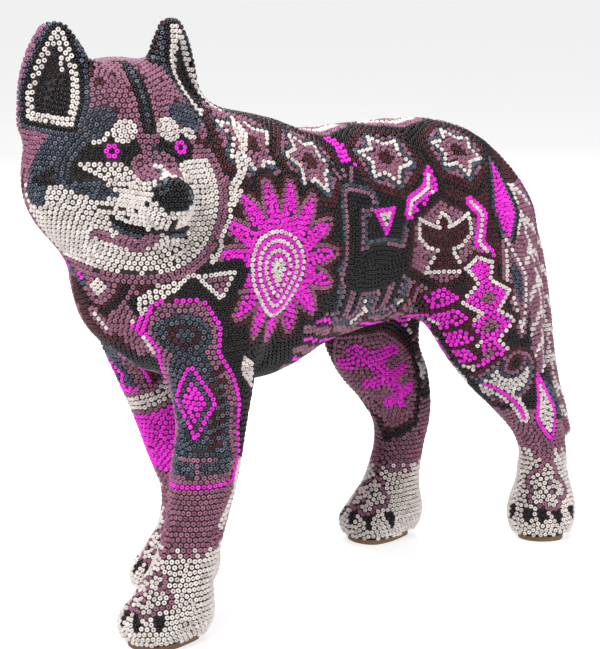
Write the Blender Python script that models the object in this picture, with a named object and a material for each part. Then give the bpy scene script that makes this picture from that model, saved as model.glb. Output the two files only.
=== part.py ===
"""Beaded wolf figure: carved wooden cores, dowels, a wax layer and bead coats, one node each.

The figure stands on four bare wooden soles.  Its head is turned towards its left (+X), its front
faces -Y.  Lengths below are millimetres; meshes are written in metres.
"""
import bpy
import bmesh
import numpy as np

MM = 0.001

# ---------------------------------------------------------------- driving dimensions (mm)
ORIGIN = np.array([0.97, -0.18, 0.0])      # ground point under the middle of the bounding box
BEAD_COAT = 1.2                          # bead height that stands out of the wax
WAX_TOP = 1.5                            # depth of the wax surface under the bead tops
WAX_BOTTOM = 2.5                         # depth of the wax underside
CORE_TOP = 3.6                           # depth of the carved wood
SEAM = 0.15                              # half the gap between two neighbouring bead coats
COAT_FOOT = 2.4                          # height of the lowest beads above the ground
SOLE_TOP = 2.1                           # height of the bare wooden sole under them
SOLE_INSET = 0.8                         # the sole's edge behind the bead tops
JOINT_GAP = 0.15                         # half the glue gap between two wooden cores
DOWEL_FIT = 0.3                          # radial clearance of a dowel in its bore
GRID = 1.9                               # sampling step of the figure's surface
FINE_GRID = 1.1                          # sampling step of the ears' and tail's wood
SKIN_TRIANGLES = 3300                    # triangles of one skin of the whole figure
WOOD_TRIANGLES = 2000                    # triangles of the carved wood without ears and tail
EAR_TRIANGLES = 170
TAIL_TRIANGLES = 200

# torso: y, height of the middle, half width, half height
TORSO = [
    (-92, 132, 25, 26), (-80, 135, 31, 38), (-60, 139, 35, 47), (-40, 139, 36, 50),
    (-15, 141, 33, 44), (12, 143, 31, 42), (40, 144, 31, 41), (62, 144, 31, 38),
    (80, 138, 28, 31), (92, 133, 21, 24),
]
# neck: x, y, z, half width, half depth
NECK = [(0, -52, 151, 30, 37), (-1, -72, 160, 32, 37), (-3, -88, 164, 30, 33)]
# legs: x, y, z, half width, half depth
LEGS = {
    "left_front": [
        (19, -76, 135, 20, 29), (23, -78, 116, 17, 22), (24.5, -78, 98, 14.5, 17),
        (24, -78, 80, 12.8, 13.6), (23.5, -81, 62, 12.2, 13.4), (23, -85, 44, 11.2, 11.8),
        (22.5, -89, 30, 11, 12.2), (22, -94, 18, 12.5, 14),
    ],
    "right_front": [
        (-20, -76, 135, 20, 28), (-24, -73, 116, 17, 22), (-25, -69, 98, 14.5, 17),
        (-24, -64, 80, 12.8, 14), (-23, -58, 62, 12.2, 13.4), (-22, -53, 44, 11.2, 11.8),
        (-22, -53, 30, 11, 12.2), (-22, -56, 18, 12.5, 14),
    ],
    "left_hind": [
        (17, 62, 138, 19, 33), (23, 65, 116, 19.5, 32), (25, 70, 98, 17.5, 27),
        (25, 78, 82, 15, 20.5), (25, 88, 69, 12.8, 16), (25, 99, 54, 10.8, 12.2),
        (24, 105, 40, 10, 10.4), (22.5, 107, 28, 10.8, 11.5), (22, 108, 17, 12.5, 13.5),
    ],
    "right_hind": [
        (-17, 52, 138, 19, 32), (-23, 48, 116, 19.5, 31), (-24, 47, 98, 18, 25),
        (-23, 50, 82, 16, 21), (-22, 58, 69, 13.8, 18), (-22, 64, 54, 12, 13.8),
        (-22, 63, 40, 10.6, 11.2), (-22, 60, 28, 10.8, 12), (-21, 56, 17, 12.5, 14),
    ],
}
# ranges of y that hold the legs
LEG_SPANS = {
    "left_front": (-140.0, -50.0),
    "right_front": (-140.0, -36.0),
    "left_hind": (16.0, 145.0),
    "right_hind": (16.0, 145.0),
}
# paws: x, y of the ankle, degrees turned outwards, reach of the toes
PAWS = {
    "left_front": (22, -96, 0, 11),
    "right_front": (-22, -58, 0, 11),
    "right_hind": (-21, 54, 0, 11),
    "left_hind": (22, 107, 45, 6.5),
}
# tail: x, y, z, half width, half depth
TAIL = [
    (0, 83, 161, 9, 10), (2, 96, 148, 10, 10.5), (5, 106, 126, 10.5, 11), (7, 110, 102, 11, 11),
    (9, 112, 80, 11, 10.5), (11, 116, 64, 9.5, 9), (13, 122, 52, 7, 7), (15, 128, 42, 3.5, 3.5),
]
# head: centre, and the heading of the face measured from +X
HEAD = np.array([-2.0, -97.0, 178.0])
HEADING = np.radians(-12.0)
# ears, in head coordinates (forward, left, up)
EAR_BASE = (-7, 22.5, 22)
EAR_TIP = (-8, 23.5, 51.5)
EAR_TURN = np.radians(36)
EAR_SOCKET = 3.0                         # depth of an ear's foot below its base
# dowels: radius and half length
NECK_DOWEL = (5.0, 15.0)
LEG_DOWEL = (3.0, 10.0)
TAIL_DOWEL = (2.2, 7.0)
EAR_DOWEL = (1.5, 5.0)
# ellipsoid that holds the wood of the head, in head coordinates: centre and radii
HEAD_ROOM = (8, 0, 2)
HEAD_ROOM_RADII = (47.0, 42.0, 46.0)
# where the dowels cross their joints
NECK_SEAT = 41.0                         # from the head's centre down to its seat in the neck
LEG_DOWEL_X = 22.0
TAIL_PEG = (3.0, 99.0, 143.0)
TAIL_PEG_OUT = (0.1, 0.85, -0.35)
TORSO_TOP = 170.0                        # lower border of the coat along the back
BELLY_TOP = 112.0                        # upper border of the coat under the belly
THIGH_FRONT = 38.0                       # front border of the two thigh coats
# upper borders of the shank and paw coats
SHANK_TOP = {"left_front": 57.0, "right_front": 54.0, "left_hind": 48.0, "right_hind": 48.0}
PAW_TOP = {"left_front": 33.0, "right_front": 31.0, "left_hind": 37.0, "right_hind": 30.0}

COLOURS = {
    "black_beads": (0.02, 0.02, 0.03),
    "white_beads": (0.80, 0.78, 0.72),
    "mauve_beads": (0.30, 0.14, 0.22),
    "maroon_beads": (0.10, 0.02, 0.04),
    "magenta_beads": (0.75, 0.04, 0.62),
    "slate_beads": (0.10, 0.14, 0.18),
    "beeswax": (0.55, 0.33, 0.12),
    "carved_wood": (0.50, 0.32, 0.18),
    "dowel_wood": (0.66, 0.48, 0.29),
}

X_AXIS, Y_AXIS, Z_AXIS = np.eye(3)
FORWARD = np.array([np.cos(HEADING), np.sin(HEADING), 0.0])
LEFT = np.array([-np.sin(HEADING), np.cos(HEADING), 0.0])
REACH = 24.0                             # fields are not sampled further than this from a shape


# ---------------------------------------------------------------- shape fields
def unit(vector):
    vector = np.asarray(vector, float)
    return vector / np.linalg.norm(vector)


def on_head(forward, left, up):
    """A point given in head coordinates."""
    return HEAD + forward * FORWARD + left * LEFT + up * Z_AXIS


def smooth_stations(stations, steps=4):
    """Catmull-Rom curve through the stations."""
    rows = np.array(stations, float)
    if len(rows) < 3:
        return rows
    out = []
    for i in range(len(rows) - 1):
        before, a = rows[max(i - 1, 0)], rows[i]
        b, after = rows[i + 1], rows[min(i + 2, len(rows) - 1)]
        for k in range(steps):
            t = k / steps
            out.append(0.5 * (2 * a + (b - before) * t
                              + (2 * before - 5 * a + 4 * b - after) * t * t
                              + (3 * a - before - 3 * b + after) * t ** 3))
    out.append(rows[-1])
    return np.array(out)


def limb(points, stations, across, along):
    """Signed distance to an elliptical limb through the stations (x, y, z, radius, radius)."""
    rows = smooth_stations(stations)
    low = (rows[:, :3] - rows[:, 3:].max() - REACH).min(0)
    high = (rows[:, :3] + rows[:, 3:].max() + REACH).max(0)
    near = np.all((points > low) & (points < high), axis=1)
    sample = points[near]
    best = np.full(len(sample), 1000.0)
    for start, end in zip(rows[:-1], rows[1:]):
        span = end[:3] - start[:3]
        offset = sample - start[:3]
        t = np.clip(offset @ span / (span @ span), 0, 1)
        offset = offset - t[:, None] * span
        ra = start[3] + (end[3] - start[3]) * t
        rb = start[4] + (end[4] - start[4]) * t
        small = np.minimum(ra, rb)
        u, v = offset @ across, offset @ along
        rest = np.maximum((offset * offset).sum(1) - u * u - v * v, 0)
        ratio = np.sqrt((u / ra) ** 2 + (v / rb) ** 2 + rest / small ** 2)
        best = np.minimum(best, (ratio - 1) * small)
    field = np.full(len(points), REACH)
    field[near] = np.minimum(best, REACH)
    return field


def ellipsoid(points, centre, radii, axes):
    offset = (points - np.asarray(centre, float)) @ np.array(axes).T
    radii = np.asarray(radii, float)
    scaled = np.sqrt(((offset / radii) ** 2).sum(1))
    slope = np.sqrt(((offset / radii ** 2) ** 2).sum(1)) + 1e-9
    return scaled * (scaled - 1) / slope


def blend(a, b, width):
    """Smooth union of two fields."""
    h = np.clip(0.5 + 0.5 * (b - a) / width, 0, 1)
    return b + (a - b) * h - width * h * (1 - h)


def carve(a, b, width):
    """Field a with field b taken away, with a rounded rim."""
    return -blend(-a, b, width)


def paw_frame(paw):
    """Ankle point, toe direction and sideways direction of a paw."""
    x, y, turn, _ = PAWS[paw]
    angle = np.radians(turn)
    toes = np.array([np.sin(angle), -np.cos(angle), 0.0])
    side = np.array([np.cos(angle), np.sin(angle), 0.0])
    return np.array([x, y, 0.0], float), toes, side


def paw_field(points, paw):
    ankle, toes, side = paw_frame(paw)
    reach = PAWS[paw][3]
    rows = [
        tuple(ankle - 4 * toes + 10 * Z_AXIS) + (13.5, 12),
        tuple(ankle + 0.5 * reach * toes + 9 * Z_AXIS) + (14.5, 12),
        tuple(ankle + reach * toes + 7.5 * Z_AXIS) + (14, 10),
    ]
    return limb(points, rows, side, Z_AXIS)


def ear_points(side):
    """Base, tip, facing direction, width direction and length direction of an ear."""
    turn = EAR_TURN * side
    facing = FORWARD * np.cos(turn) + LEFT * np.sin(turn)
    base = on_head(EAR_BASE[0], side * EAR_BASE[1], EAR_BASE[2])
    tip = on_head(EAR_TIP[0], side * EAR_TIP[1], EAR_TIP[2])
    length = unit(tip - base)
    return base, tip, facing, unit(np.cross(length, facing)), length


def ear_field(points, side):
    base, tip, facing, width, length = ear_points(side)
    rise = tip - base
    rows = [
        tuple(base - 6 * length) + (16, 9),
        tuple(base + 0.25 * rise) + (14.5, 8),
        tuple(base + 0.6 * rise) + (11, 6.5),
        tuple(base + 0.85 * rise) + (6.5, 4.5),
    ]
    outside = limb(points, rows, width, facing)
    hollow = ellipsoid(points, base + 0.33 * rise + 10.5 * facing, (7.0, 9, 16.5),
                       (facing, width, length))
    return carve(outside, hollow, 3.0)


def skull_field(points):
    axes = (FORWARD, LEFT, Z_AXIS)
    skull = ellipsoid(points, on_head(-7, 0, 8), (31, 32, 30), axes)
    cheeks = ellipsoid(points, on_head(-6, 0, -6), (24, 37, 31.5), axes)
    muzzle = limb(points, [
        tuple(on_head(8, 0, -7)) + (18, 16),
        tuple(on_head(22, 0, -9)) + (14, 13),
        tuple(on_head(35, 0, -10.5)) + (10.5, 10.5),
    ], LEFT, Z_AXIS)
    jaw = limb(points, [
        tuple(on_head(6, 0, -21)) + (19, 11),
        tuple(on_head(20, 0, -21.5)) + (13, 7.5),
        tuple(on_head(31, 0, -21)) + (7.5, 5),
    ], LEFT, Z_AXIS)
    nose = ellipsoid(points, on_head(42, 0, -7.5), (6, 7.2, 6), axes)
    field = blend(skull, cheeks, 8)
    field = blend(field, muzzle, 7)
    field = blend(field, jaw, 4)
    return blend(field, nose, 2.5)


def head_field(points):
    field = skull_field(points)
    for side in (-1, 1):
        field = blend(field, ear_field(points, side), 5)
    return field


def tail_field(points):
    return limb(points, TAIL, X_AXIS, Y_AXIS)


def trunk_field(points):
    """Torso, neck, legs and paws."""
    torso = [(0, y, z, wide, high) for y, z, wide, high in TORSO]
    field = limb(points, torso, X_AXIS, Z_AXIS)
    field = blend(field, limb(points, NECK, X_AXIS, unit((0, 0.4, 0.9))), 14)
    for name, stations in LEGS.items():
        leg = blend(limb(points, stations, X_AXIS, Y_AXIS), paw_field(points, name), 6)
        field = blend(field, leg, 9)
    return field


def figure_field(points):
    field = blend(trunk_field(points), head_field(points), 9)
    return blend(field, tail_field(points), 4)


def slope(field, points, step=0.05):
    """Unit outward direction of a field at the points."""
    grad = np.empty_like(points)
    for axis in range(3):
        shift = np.eye(3)[axis] * step
        grad[:, axis] = field(points + shift) - field(points - shift)
    return grad / (np.linalg.norm(grad, axis=1)[:, None] + 1e-12)


# ---------------------------------------------------------------- surface of the figure
def sample_field(field, low, high, step):
    counts = np.ceil((high - low) / step).astype(int) + 1
    axes = [low[i] + step * np.arange(counts[i]) for i in range(3)]
    grid = np.stack(np.meshgrid(*axes, indexing="ij"), -1)
    return field(grid.reshape(-1, 3)).reshape(counts)


def surface_net(values, low, step):
    """Quad mesh of the zero level of a sampled field."""
    corners = [(i, j, k) for i in (0, 1) for j in (0, 1) for k in (0, 1)]
    shape = tuple(n - 1 for n in values.shape)
    total = np.zeros(shape + (3,))
    count = np.zeros(shape)
    for first, a in enumerate(corners):
        for b in corners[first + 1:]:
            if sum(abs(p - q) for p, q in zip(a, b)) != 1:
                continue
            fa = values[tuple(slice(o, o + n) for o, n in zip(a, shape))]
            fb = values[tuple(slice(o, o + n) for o, n in zip(b, shape))]
            crosses = (fa < 0) != (fb < 0)
            t = np.where(crosses, fa / np.where(crosses, fa - fb, 1), 0)
            place = np.array(a, float) + t[..., None] * (np.array(b, float) - np.array(a, float))
            total += np.where(crosses[..., None], place, 0)
            count += crosses
    used = count > 0
    index = np.full(shape, -1)
    index[used] = np.arange(used.sum())
    verts = low + step * (np.argwhere(used) + total[used] / count[used][:, None])
    return verts, np.vstack([net_faces(values < 0, index, axis) for axis in range(3)])


def net_faces(inside, index, axis):
    """Quads around the grid edges along one axis that cross the surface."""
    start, end = [slice(1, -1)] * 3, [slice(1, -1)] * 3
    start[axis], end[axis] = slice(0, -1), slice(1, None)
    first, second = inside[tuple(start)], inside[tuple(end)]
    cells = np.argwhere(first != second)
    corner = cells + np.array([0 if k == axis else 1 for k in range(3)])
    across = np.eye(3, dtype=int)[(axis + 1) % 3]
    upward = np.eye(3, dtype=int)[(axis + 2) % 3]
    ring = [corner - across - upward, corner - upward, corner, corner - across]
    quads = np.stack([index[tuple(cell.T)] for cell in ring], 1)
    flip = ~first[tuple(cells.T)]
    quads[flip] = quads[flip][:, ::-1]
    return quads


def settle(points, field, rounds=3):
    """Move points onto the zero level of the field."""
    for _ in range(rounds):
        points = points - field(points)[:, None] * slope(field, points)
    return points


def decimated(verts, faces, triangles):
    """The same surface with about the given number of triangles."""
    mesh = bpy.data.meshes.new("dense")
    mesh.from_pydata((verts * MM).tolist(), [], faces.tolist())
    dense = bpy.data.objects.new("dense", mesh)
    bpy.context.scene.collection.objects.link(dense)
    thin = dense.modifiers.new("thin", "DECIMATE")
    thin.ratio = min(1.0, triangles / (2 * len(faces)))
    thin.use_collapse_triangulate = True
    graph = bpy.context.evaluated_depsgraph_get()
    light = bpy.data.meshes.new_from_object(dense.evaluated_get(graph))
    verts = np.array([v.co for v in light.vertices]) / MM
    faces = [tuple(p.vertices) for p in light.polygons]
    bpy.data.objects.remove(dense)
    return verts, faces


def level_surface(field, low, high, triangles, step=GRID):
    """Light triangle mesh of the zero level of a field inside a box."""
    low, high = np.array(low, float), np.array(high, float)
    verts, quads = surface_net(sample_field(field, low, high, step), low, step)
    verts, faces = decimated(settle(verts, field), quads, triangles)
    return settle(verts, field), faces


# ---------------------------------------------------------------- borders between the regions
def head_side(points):
    """Positive on the head's side of the crease between head and neck."""
    return trunk_field(points) - head_field(points)


def face_side(points):
    """Positive in front of the line from ear to ear and along the cheeks."""
    return (points - on_head(-6, 0, 0)) @ FORWARD


def brow_side(points):
    """Positive on the forehead, above the pale cheeks and muzzle."""
    level = (points - HEAD) @ Z_AXIS
    outwards = np.abs((points - HEAD) @ LEFT)
    return level - 4.0 + 0.28 * outwards


def nose_side(points):
    return 8.4 - np.linalg.norm(points - on_head(44, 0, -7.5), axis=1)


def eye_side(side):
    """Positive inside the round patch of one eye."""
    def rule(points):
        offset = points - on_head(0, side * 13.5, 7)
        across = np.hypot(offset @ LEFT, offset @ Z_AXIS)
        return np.minimum(4.2 - across, offset @ FORWARD - 5)
    return rule


def ear_side(side):
    return lambda points: skull_field(points) - ear_field(points, side) - 0.5


def tail_side(points):
    return trunk_field(points) - tail_field(points) - 0.3


def neck_side(points):
    return (points - np.array([0.0, -56.0, 150.0])) @ unit((0, -0.82, 0.57))


def chest_side(points):
    return (points - np.array([0.0, -70.0, 122.0])) @ unit((0, -0.75, -0.66))


def side_of(name):
    """+1 for a part on the figure's left, -1 on its right."""
    return 1.0 if name.startswith("left") else -1.0


def leg_plane(name):
    """A point of the slanting plane where a leg leaves the torso, and its outward direction."""
    height = 98.0 if name.endswith("front") else 100.0
    return np.array([side_of(name) * 12.0, 0.0, height]), unit((side_of(name), 0.0, -1.0))


def leg_side(name):
    """Positive inside the wedge of space that holds one leg."""
    point, outward = leg_plane(name)
    low, high = LEG_SPANS[name]

    def rule(points):
        beyond = (points - point) @ outward
        bounded = np.minimum(points[:, 1] - low, high - points[:, 1])
        return np.minimum(np.minimum(beyond, bounded), side_of(name) * points[:, 0] - 2.0)
    return rule


def above(height):
    """Positive above a level."""
    return lambda points: points[:, 2] - height


def region_rules():
    """Region name and its test, in the order in which they are tried."""
    def inside(rule):
        return lambda p: rule(p) > 0

    def both(first, second):
        return lambda p: (first(p) > 0) & (second(p) > 0)

    table = [("nose", inside(nose_side)), ("tail", inside(tail_side))]
    for name, side in (("left", 1), ("right", -1)):
        table.append((name + "_eye", inside(eye_side(side))))
        table.append((name + "_ear", inside(ear_side(side))))
    table.append(("forehead", lambda p: both(head_side, face_side)(p) & (brow_side(p) > 0)))
    table.append(("cheeks_and_muzzle", both(head_side, face_side)))
    table.append(("head_back", inside(head_side)))
    for name in LEGS:
        rule = leg_side(name)
        paw, shank = above(PAW_TOP[name]), above(SHANK_TOP[name])
        table.append((name + "_paw", both(rule, lambda p, edge=paw: -edge(p))))
        table.append((name + "_shank", both(rule, lambda p, edge=shank: -edge(p))))
        table.append((name + "_leg", inside(rule)))
    table.append(("chest", both(neck_side, chest_side)))
    table.append(("neck_ruff", inside(neck_side)))
    table.append(("belly", lambda p: p[:, 2] < BELLY_TOP))
    table.append(("back", lambda p: p[:, 2] > TORSO_TOP))
    table.append(("left_thigh", lambda p: (p[:, 0] > 0) & (p[:, 1] > THIGH_FRONT)))
    table.append(("right_thigh", lambda p: p[:, 1] > THIGH_FRONT))
    table.append(("left_flank", lambda p: p[:, 0] > 0))
    table.append(("right_flank", lambda p: p[:, 0] <= 0))
    return table


def region_labels(points):
    labels = np.full(len(points), "", dtype=object)
    for name, test in region_rules():
        free = np.flatnonzero(labels == "")
        labels[free[test(points[free])]] = name
    return labels


# ---------------------------------------------------------------- cutting the surface
def cut_along(mesh, rule, picked, snap=0.2):
    """Add edges along the zero line of a rule on the faces whose middle passes the picked test."""
    mesh.verts.ensure_lookup_table()
    mesh.faces.ensure_lookup_table()
    mesh.verts.index_update()
    value = rule(np.array([v.co for v in mesh.verts]))
    middles = np.array([f.calc_center_median() for f in mesh.faces])
    chosen = picked(middles)
    edges = {e for f, wanted in zip(mesh.faces, chosen) if wanted for e in f.edges}
    crossed = []
    on_line = set()
    for edge in sorted(edges, key=lambda e: (e.verts[0].index, e.verts[1].index)):
        a, b = edge.verts
        fa, fb = value[a.index], value[b.index]
        if fa * fb >= 0:
            continue
        t = fa / (fa - fb)
        if t < snap:
            on_line.add(a)
        elif t > 1 - snap:
            on_line.add(b)
        else:
            crossed.append((edge, a, b, t))
    for edge, a, b, t in crossed:
        if a not in on_line and b not in on_line:
            on_line.add(bmesh.utils.edge_split(edge, a, t)[1])
    bmesh.ops.connect_verts(mesh, verts=list(on_line))
    bmesh.ops.triangulate(mesh, faces=[f for f in mesh.faces if len(f.verts) > 3])


def add_borders(mesh):
    """Cut the surface along the borders between the regions."""
    def on_head_part(p):
        return (head_side(p) > -1) & (p[:, 1] < -20)

    def on_face(p):
        return on_head_part(p) & (face_side(p) > 0)

    def on_body(p):
        return ~on_head_part(p)

    def on_torso(p):
        return on_body(p) & (neck_side(p) < 0) & (p[:, 2] > 85)

    cut_along(mesh, tail_side, lambda p: p[:, 1] > 60)
    cut_along(mesh, head_side, lambda p: p[:, 1] < -20)
    cut_along(mesh, face_side, on_head_part)
    for side in (1, -1):
        cut_along(mesh, ear_side(side), on_head_part)
        cut_along(mesh, eye_side(side), on_face)
    cut_along(mesh, nose_side, on_face)
    cut_along(mesh, brow_side, on_face)
    for name in LEGS:
        low, high = LEG_SPANS[name]

        def around_leg(p, name=name, low=low, high=high):
            return on_body(p) & (side_of(name) * p[:, 0] > 0) & (p[:, 1] > low) & (p[:, 1] < high)

        def on_leg(p, near=around_leg):
            return near(p) & (p[:, 2] < 75)

        cut_along(mesh, leg_side(name), around_leg)
        cut_along(mesh, above(PAW_TOP[name]), on_leg)
        cut_along(mesh, above(SHANK_TOP[name]), on_leg)
    cut_along(mesh, neck_side, on_body)
    cut_along(mesh, chest_side, lambda p: on_body(p) & (neck_side(p) > 0))
    cut_along(mesh, above(BELLY_TOP), on_torso)
    cut_along(mesh, above(TORSO_TOP), on_torso)
    cut_along(mesh, lambda p: p[:, 1] - THIGH_FRONT, on_torso)
    cut_along(mesh, lambda p: p[:, 0], on_torso)


def merge_islands(faces, labels):
    """Give every patch that is cut off from the rest of its region to the region around it."""
    sides = {}
    for i, face in enumerate(faces):
        for a, b in zip(face, face[1:] + face[:1]):
            sides[(a, b)] = i
    beside = [[sides.get((b, a), -1) for a, b in zip(f, f[1:] + f[:1])] for f in faces]
    for _ in range(3):
        patches = patches_of(labels, beside)
        largest = {}
        for patch in patches:
            name = labels[patch[0]]
            if len(patch) > len(largest.get(name, ())):
                largest[name] = patch
        for patch in patches:
            if largest[labels[patch[0]]] is patch:
                continue
            around = [labels[j] for i in patch for j in beside[i]
                      if j >= 0 and labels[j] != labels[patch[0]]]
            if around:
                labels[patch] = max(sorted(set(around)), key=around.count)
    return labels


def patches_of(labels, beside):
    """Connected sets of faces that share a label."""
    seen = np.zeros(len(labels), bool)
    patches = []
    for start in range(len(labels)):
        if seen[start]:
            continue
        seen[start] = True
        patch, todo = [], [start]
        while todo:
            i = todo.pop()
            patch.append(i)
            for j in beside[i]:
                if j >= 0 and not seen[j] and labels[j] == labels[i]:
                    seen[j] = True
                    todo.append(j)
        patches.append(patch)
    return patches


# ---------------------------------------------------------------- nodes
def material(slot):
    made = bpy.data.materials.get(slot)
    if made:
        return made
    made = bpy.data.materials.new(slot)
    made.use_nodes = True
    shader = made.node_tree.nodes["Principled BSDF"]
    shader.inputs["Base Color"].default_value = (*COLOURS[slot], 1.0)
    shader.inputs["Roughness"].default_value = 0.25 if slot.endswith("beads") else 0.6
    return made


def add_node(name, verts, faces, slot):
    """A named object whose vertices are given in millimetres."""
    mesh = bpy.data.meshes.new(name)
    mesh.from_pydata(((np.asarray(verts) - ORIGIN) * MM).tolist(), [], [tuple(f) for f in faces])
    node = bpy.data.objects.new(name, mesh)
    node.data.materials.append(material(slot))
    bpy.context.scene.collection.objects.link(node)
    return node


def split_corners(faces):
    """Vertex of every face corner, told apart where two parts of a patch only touch at a point."""
    parent = {(i, v): (i, v) for i, face in enumerate(faces) for v in face}

    def root(corner):
        while parent[corner] != corner:
            corner = parent[corner]
        return corner

    sides = {}
    for i, face in enumerate(faces):
        for a, b in zip(face, face[1:] + face[:1]):
            sides[(a, b)] = i
    for (a, b), i in sides.items():
        if (b, a) in sides:
            for v in (a, b):
                parent[root((i, v))] = root((sides[(b, a)], v))
    index = {}
    corners = []
    for i, face in enumerate(faces):
        corners.append(tuple(index.setdefault(root((i, v)), len(index)) for v in face))
    return [v for _, v in index], corners


def shell(verts, faces, outward, top, bottom):
    """A closed skin between two depths under the surface, pulled back from its open border."""
    used, faces = split_corners(faces)
    place, normal = verts[used].copy(), outward[used]
    sides = {(a, b) for face in faces for a, b in zip(face, face[1:] + face[:1])}
    border = sorted((a, b) for a, b in sides if (b, a) not in sides)
    place = pull_back(place, normal, border)
    count = len(place)
    inner = [tuple(i + count for i in reversed(face)) for face in faces]
    rim = []
    for a, b in border:
        rim.append((b, a, a + count))
        rim.append((b, a + count, b + count))
    skin = np.vstack([place - top * normal, place - bottom * normal])
    return skin, faces + inner + rim


def pull_back(place, normal, border):
    """Move the border vertices into the region by half a seam."""
    inward = np.zeros_like(place)
    for a, b in border:
        side = np.cross(normal[a] + normal[b], place[b] - place[a])
        side = side / (np.linalg.norm(side) + 1e-9)
        inward[a] += side
        inward[b] += side
    length = np.linalg.norm(inward, axis=1)
    moved = length > 0.2
    place[moved] += SEAM * inward[moved] / length[moved][:, None]
    return place


def skin_mesh(verts, faces, outward):
    """Editable copy of the surface that carries its outward directions along."""
    skin = bmesh.new()
    layer = skin.verts.layers.float_vector.new("outward")
    handles = []
    for place, direction in zip(verts, outward):
        vert = skin.verts.new(place)
        vert[layer] = direction
        handles.append(vert)
    for face in faces:
        skin.faces.new([handles[i] for i in face])
    skin.verts.index_update()
    return skin


def skin_arrays(skin):
    """Vertices, faces and outward directions above the lowest beads."""
    layer = skin.verts.layers.float_vector["outward"]
    skin.verts.index_update()
    verts = np.array([v.co for v in skin.verts])
    outward = np.array([v[layer] for v in skin.verts])
    faces = [tuple(v.index for v in f.verts) for f in skin.faces]
    middles = np.array([verts[list(f)].mean(0) for f in faces])
    kept = middles[:, 2] > COAT_FOOT
    return verts, [f for f, k in zip(faces, kept) if k], outward, middles[kept]


COAT_SLOTS = {
    "nose": "black_beads", "eye": "magenta_beads", "ear": "black_beads", "tail": "mauve_beads",
    "forehead": "mauve_beads", "muzzle": "white_beads", "head_back": "slate_beads",
    "ruff": "mauve_beads", "chest": "maroon_beads", "belly": "maroon_beads",
    "flank": "maroon_beads", "thigh": "mauve_beads", "shank": "mauve_beads",
    "paw": "white_beads", "leg": "slate_beads", "back": "mauve_beads",
}


def coat_slot(region):
    return next(slot for ending, slot in COAT_SLOTS.items() if region.endswith(ending))


def everywhere(points):
    return np.ones(len(points), bool)


def make_skins():
    """The bead coats and the wax layer under them."""
    verts, faces = level_surface(figure_field, (-56, -150, -8), (58, 148, 240), SKIN_TRIANGLES)
    skin = skin_mesh(verts, faces, slope(figure_field, verts))
    cut_along(skin, above(COAT_FOOT), everywhere)
    verts, faces, outward, _ = skin_arrays(skin)
    add_node("beeswax_layer", *shell(verts, faces, outward, WAX_TOP, WAX_BOTTOM), "beeswax")
    add_borders(skin)
    verts, faces, outward, middles = skin_arrays(skin)
    skin.free()
    labels = merge_islands(faces, region_labels(middles))
    for region in dict.fromkeys(labels):
        mine = [f for f, label in zip(faces, labels) if label == region]
        add_node(region + "_bead_coat", *shell(verts, mine, outward, 0.0, BEAD_COAT),
                 coat_slot(region))


# ---------------------------------------------------------------- simple solids
def prism(outline, far_outline):
    """Solid between two outlines, both anticlockwise as seen from beyond the far one."""
    count = len(outline)
    faces = [tuple(reversed(range(count))), tuple(range(count, 2 * count))]
    for i in range(count):
        j = (i + 1) % count
        faces.append((i, j, j + count, i + count))
    return np.vstack([outline, far_outline]), faces


def rod(centre, axis, radius, half, sides=18):
    """Cylinder."""
    axis = unit(axis)
    across = unit(np.cross(axis, X_AXIS if abs(axis[0]) < 0.8 else Y_AXIS))
    up = np.cross(axis, across)
    angles = 2 * np.pi * np.arange(sides) / sides
    spokes = radius * (np.cos(angles)[:, None] * across + np.sin(angles)[:, None] * up)
    return prism(centre - half * axis + spokes, centre + half * axis + spokes)


def half_space(point, outward, size=80.0):
    """Big box on the outward side of a plane."""
    across = unit(np.cross(outward, X_AXIS if abs(outward[0]) < 0.8 else Y_AXIS))
    up = np.cross(outward, across)
    square = np.array([size * (i * across + j * up) for i, j in SQUARE])
    return prism(point + square, point + square + 2 * size * outward)


SQUARE = ((-1, -1), (1, -1), (1, 1), (-1, 1))


def leg_wedge(name, grow):
    """The space of one leg's wood: beside the body's middle, under the slanting joint plane."""
    side = side_of(name)
    corner = leg_plane(name)[0]
    low, high = LEG_SPANS[name]
    inner, far = 2.0 - grow, 75.0
    rise = corner[2] - abs(corner[0]) + 1.414 * grow
    outline = np.array([(inner, -20), (far, -20), (far, far + rise), (inner, inner + rise)])
    near = np.array([(side * x, low - grow, z) for x, z in outline])
    away = near + (high - low + 2 * grow) * Y_AXIS
    if side > 0:
        return prism(near[::-1], away[::-1])
    return prism(near, away)


def head_room(grow, rings=10, sides=20):
    """Ellipsoid around the head's wood."""
    verts = [on_head(HEAD_ROOM[0], HEAD_ROOM[1], HEAD_ROOM[2] - HEAD_ROOM_RADII[2] - grow)]
    radii = np.array(HEAD_ROOM_RADII) + grow
    for i in range(1, rings):
        level = np.pi * i / rings
        for k in range(sides):
            turn = 2 * np.pi * k / sides
            shape = np.array([np.sin(level) * np.cos(turn), np.sin(level) * np.sin(turn),
                              -np.cos(level)])
            verts.append(on_head(*(np.array(HEAD_ROOM) + radii * shape)))
    verts.append(on_head(HEAD_ROOM[0], HEAD_ROOM[1], HEAD_ROOM[2] + radii[2]))
    faces = []
    top = len(verts) - 1
    for k in range(sides):
        n = (k + 1) % sides
        faces.append((0, 1 + n, 1 + k))
        faces.append((top, top - sides + k, top - sides + n))
        for i in range(rings - 2):
            a = 1 + i * sides
            faces.append((a + k, a + n, a + sides + n, a + sides + k))
    return verts, faces


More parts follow.
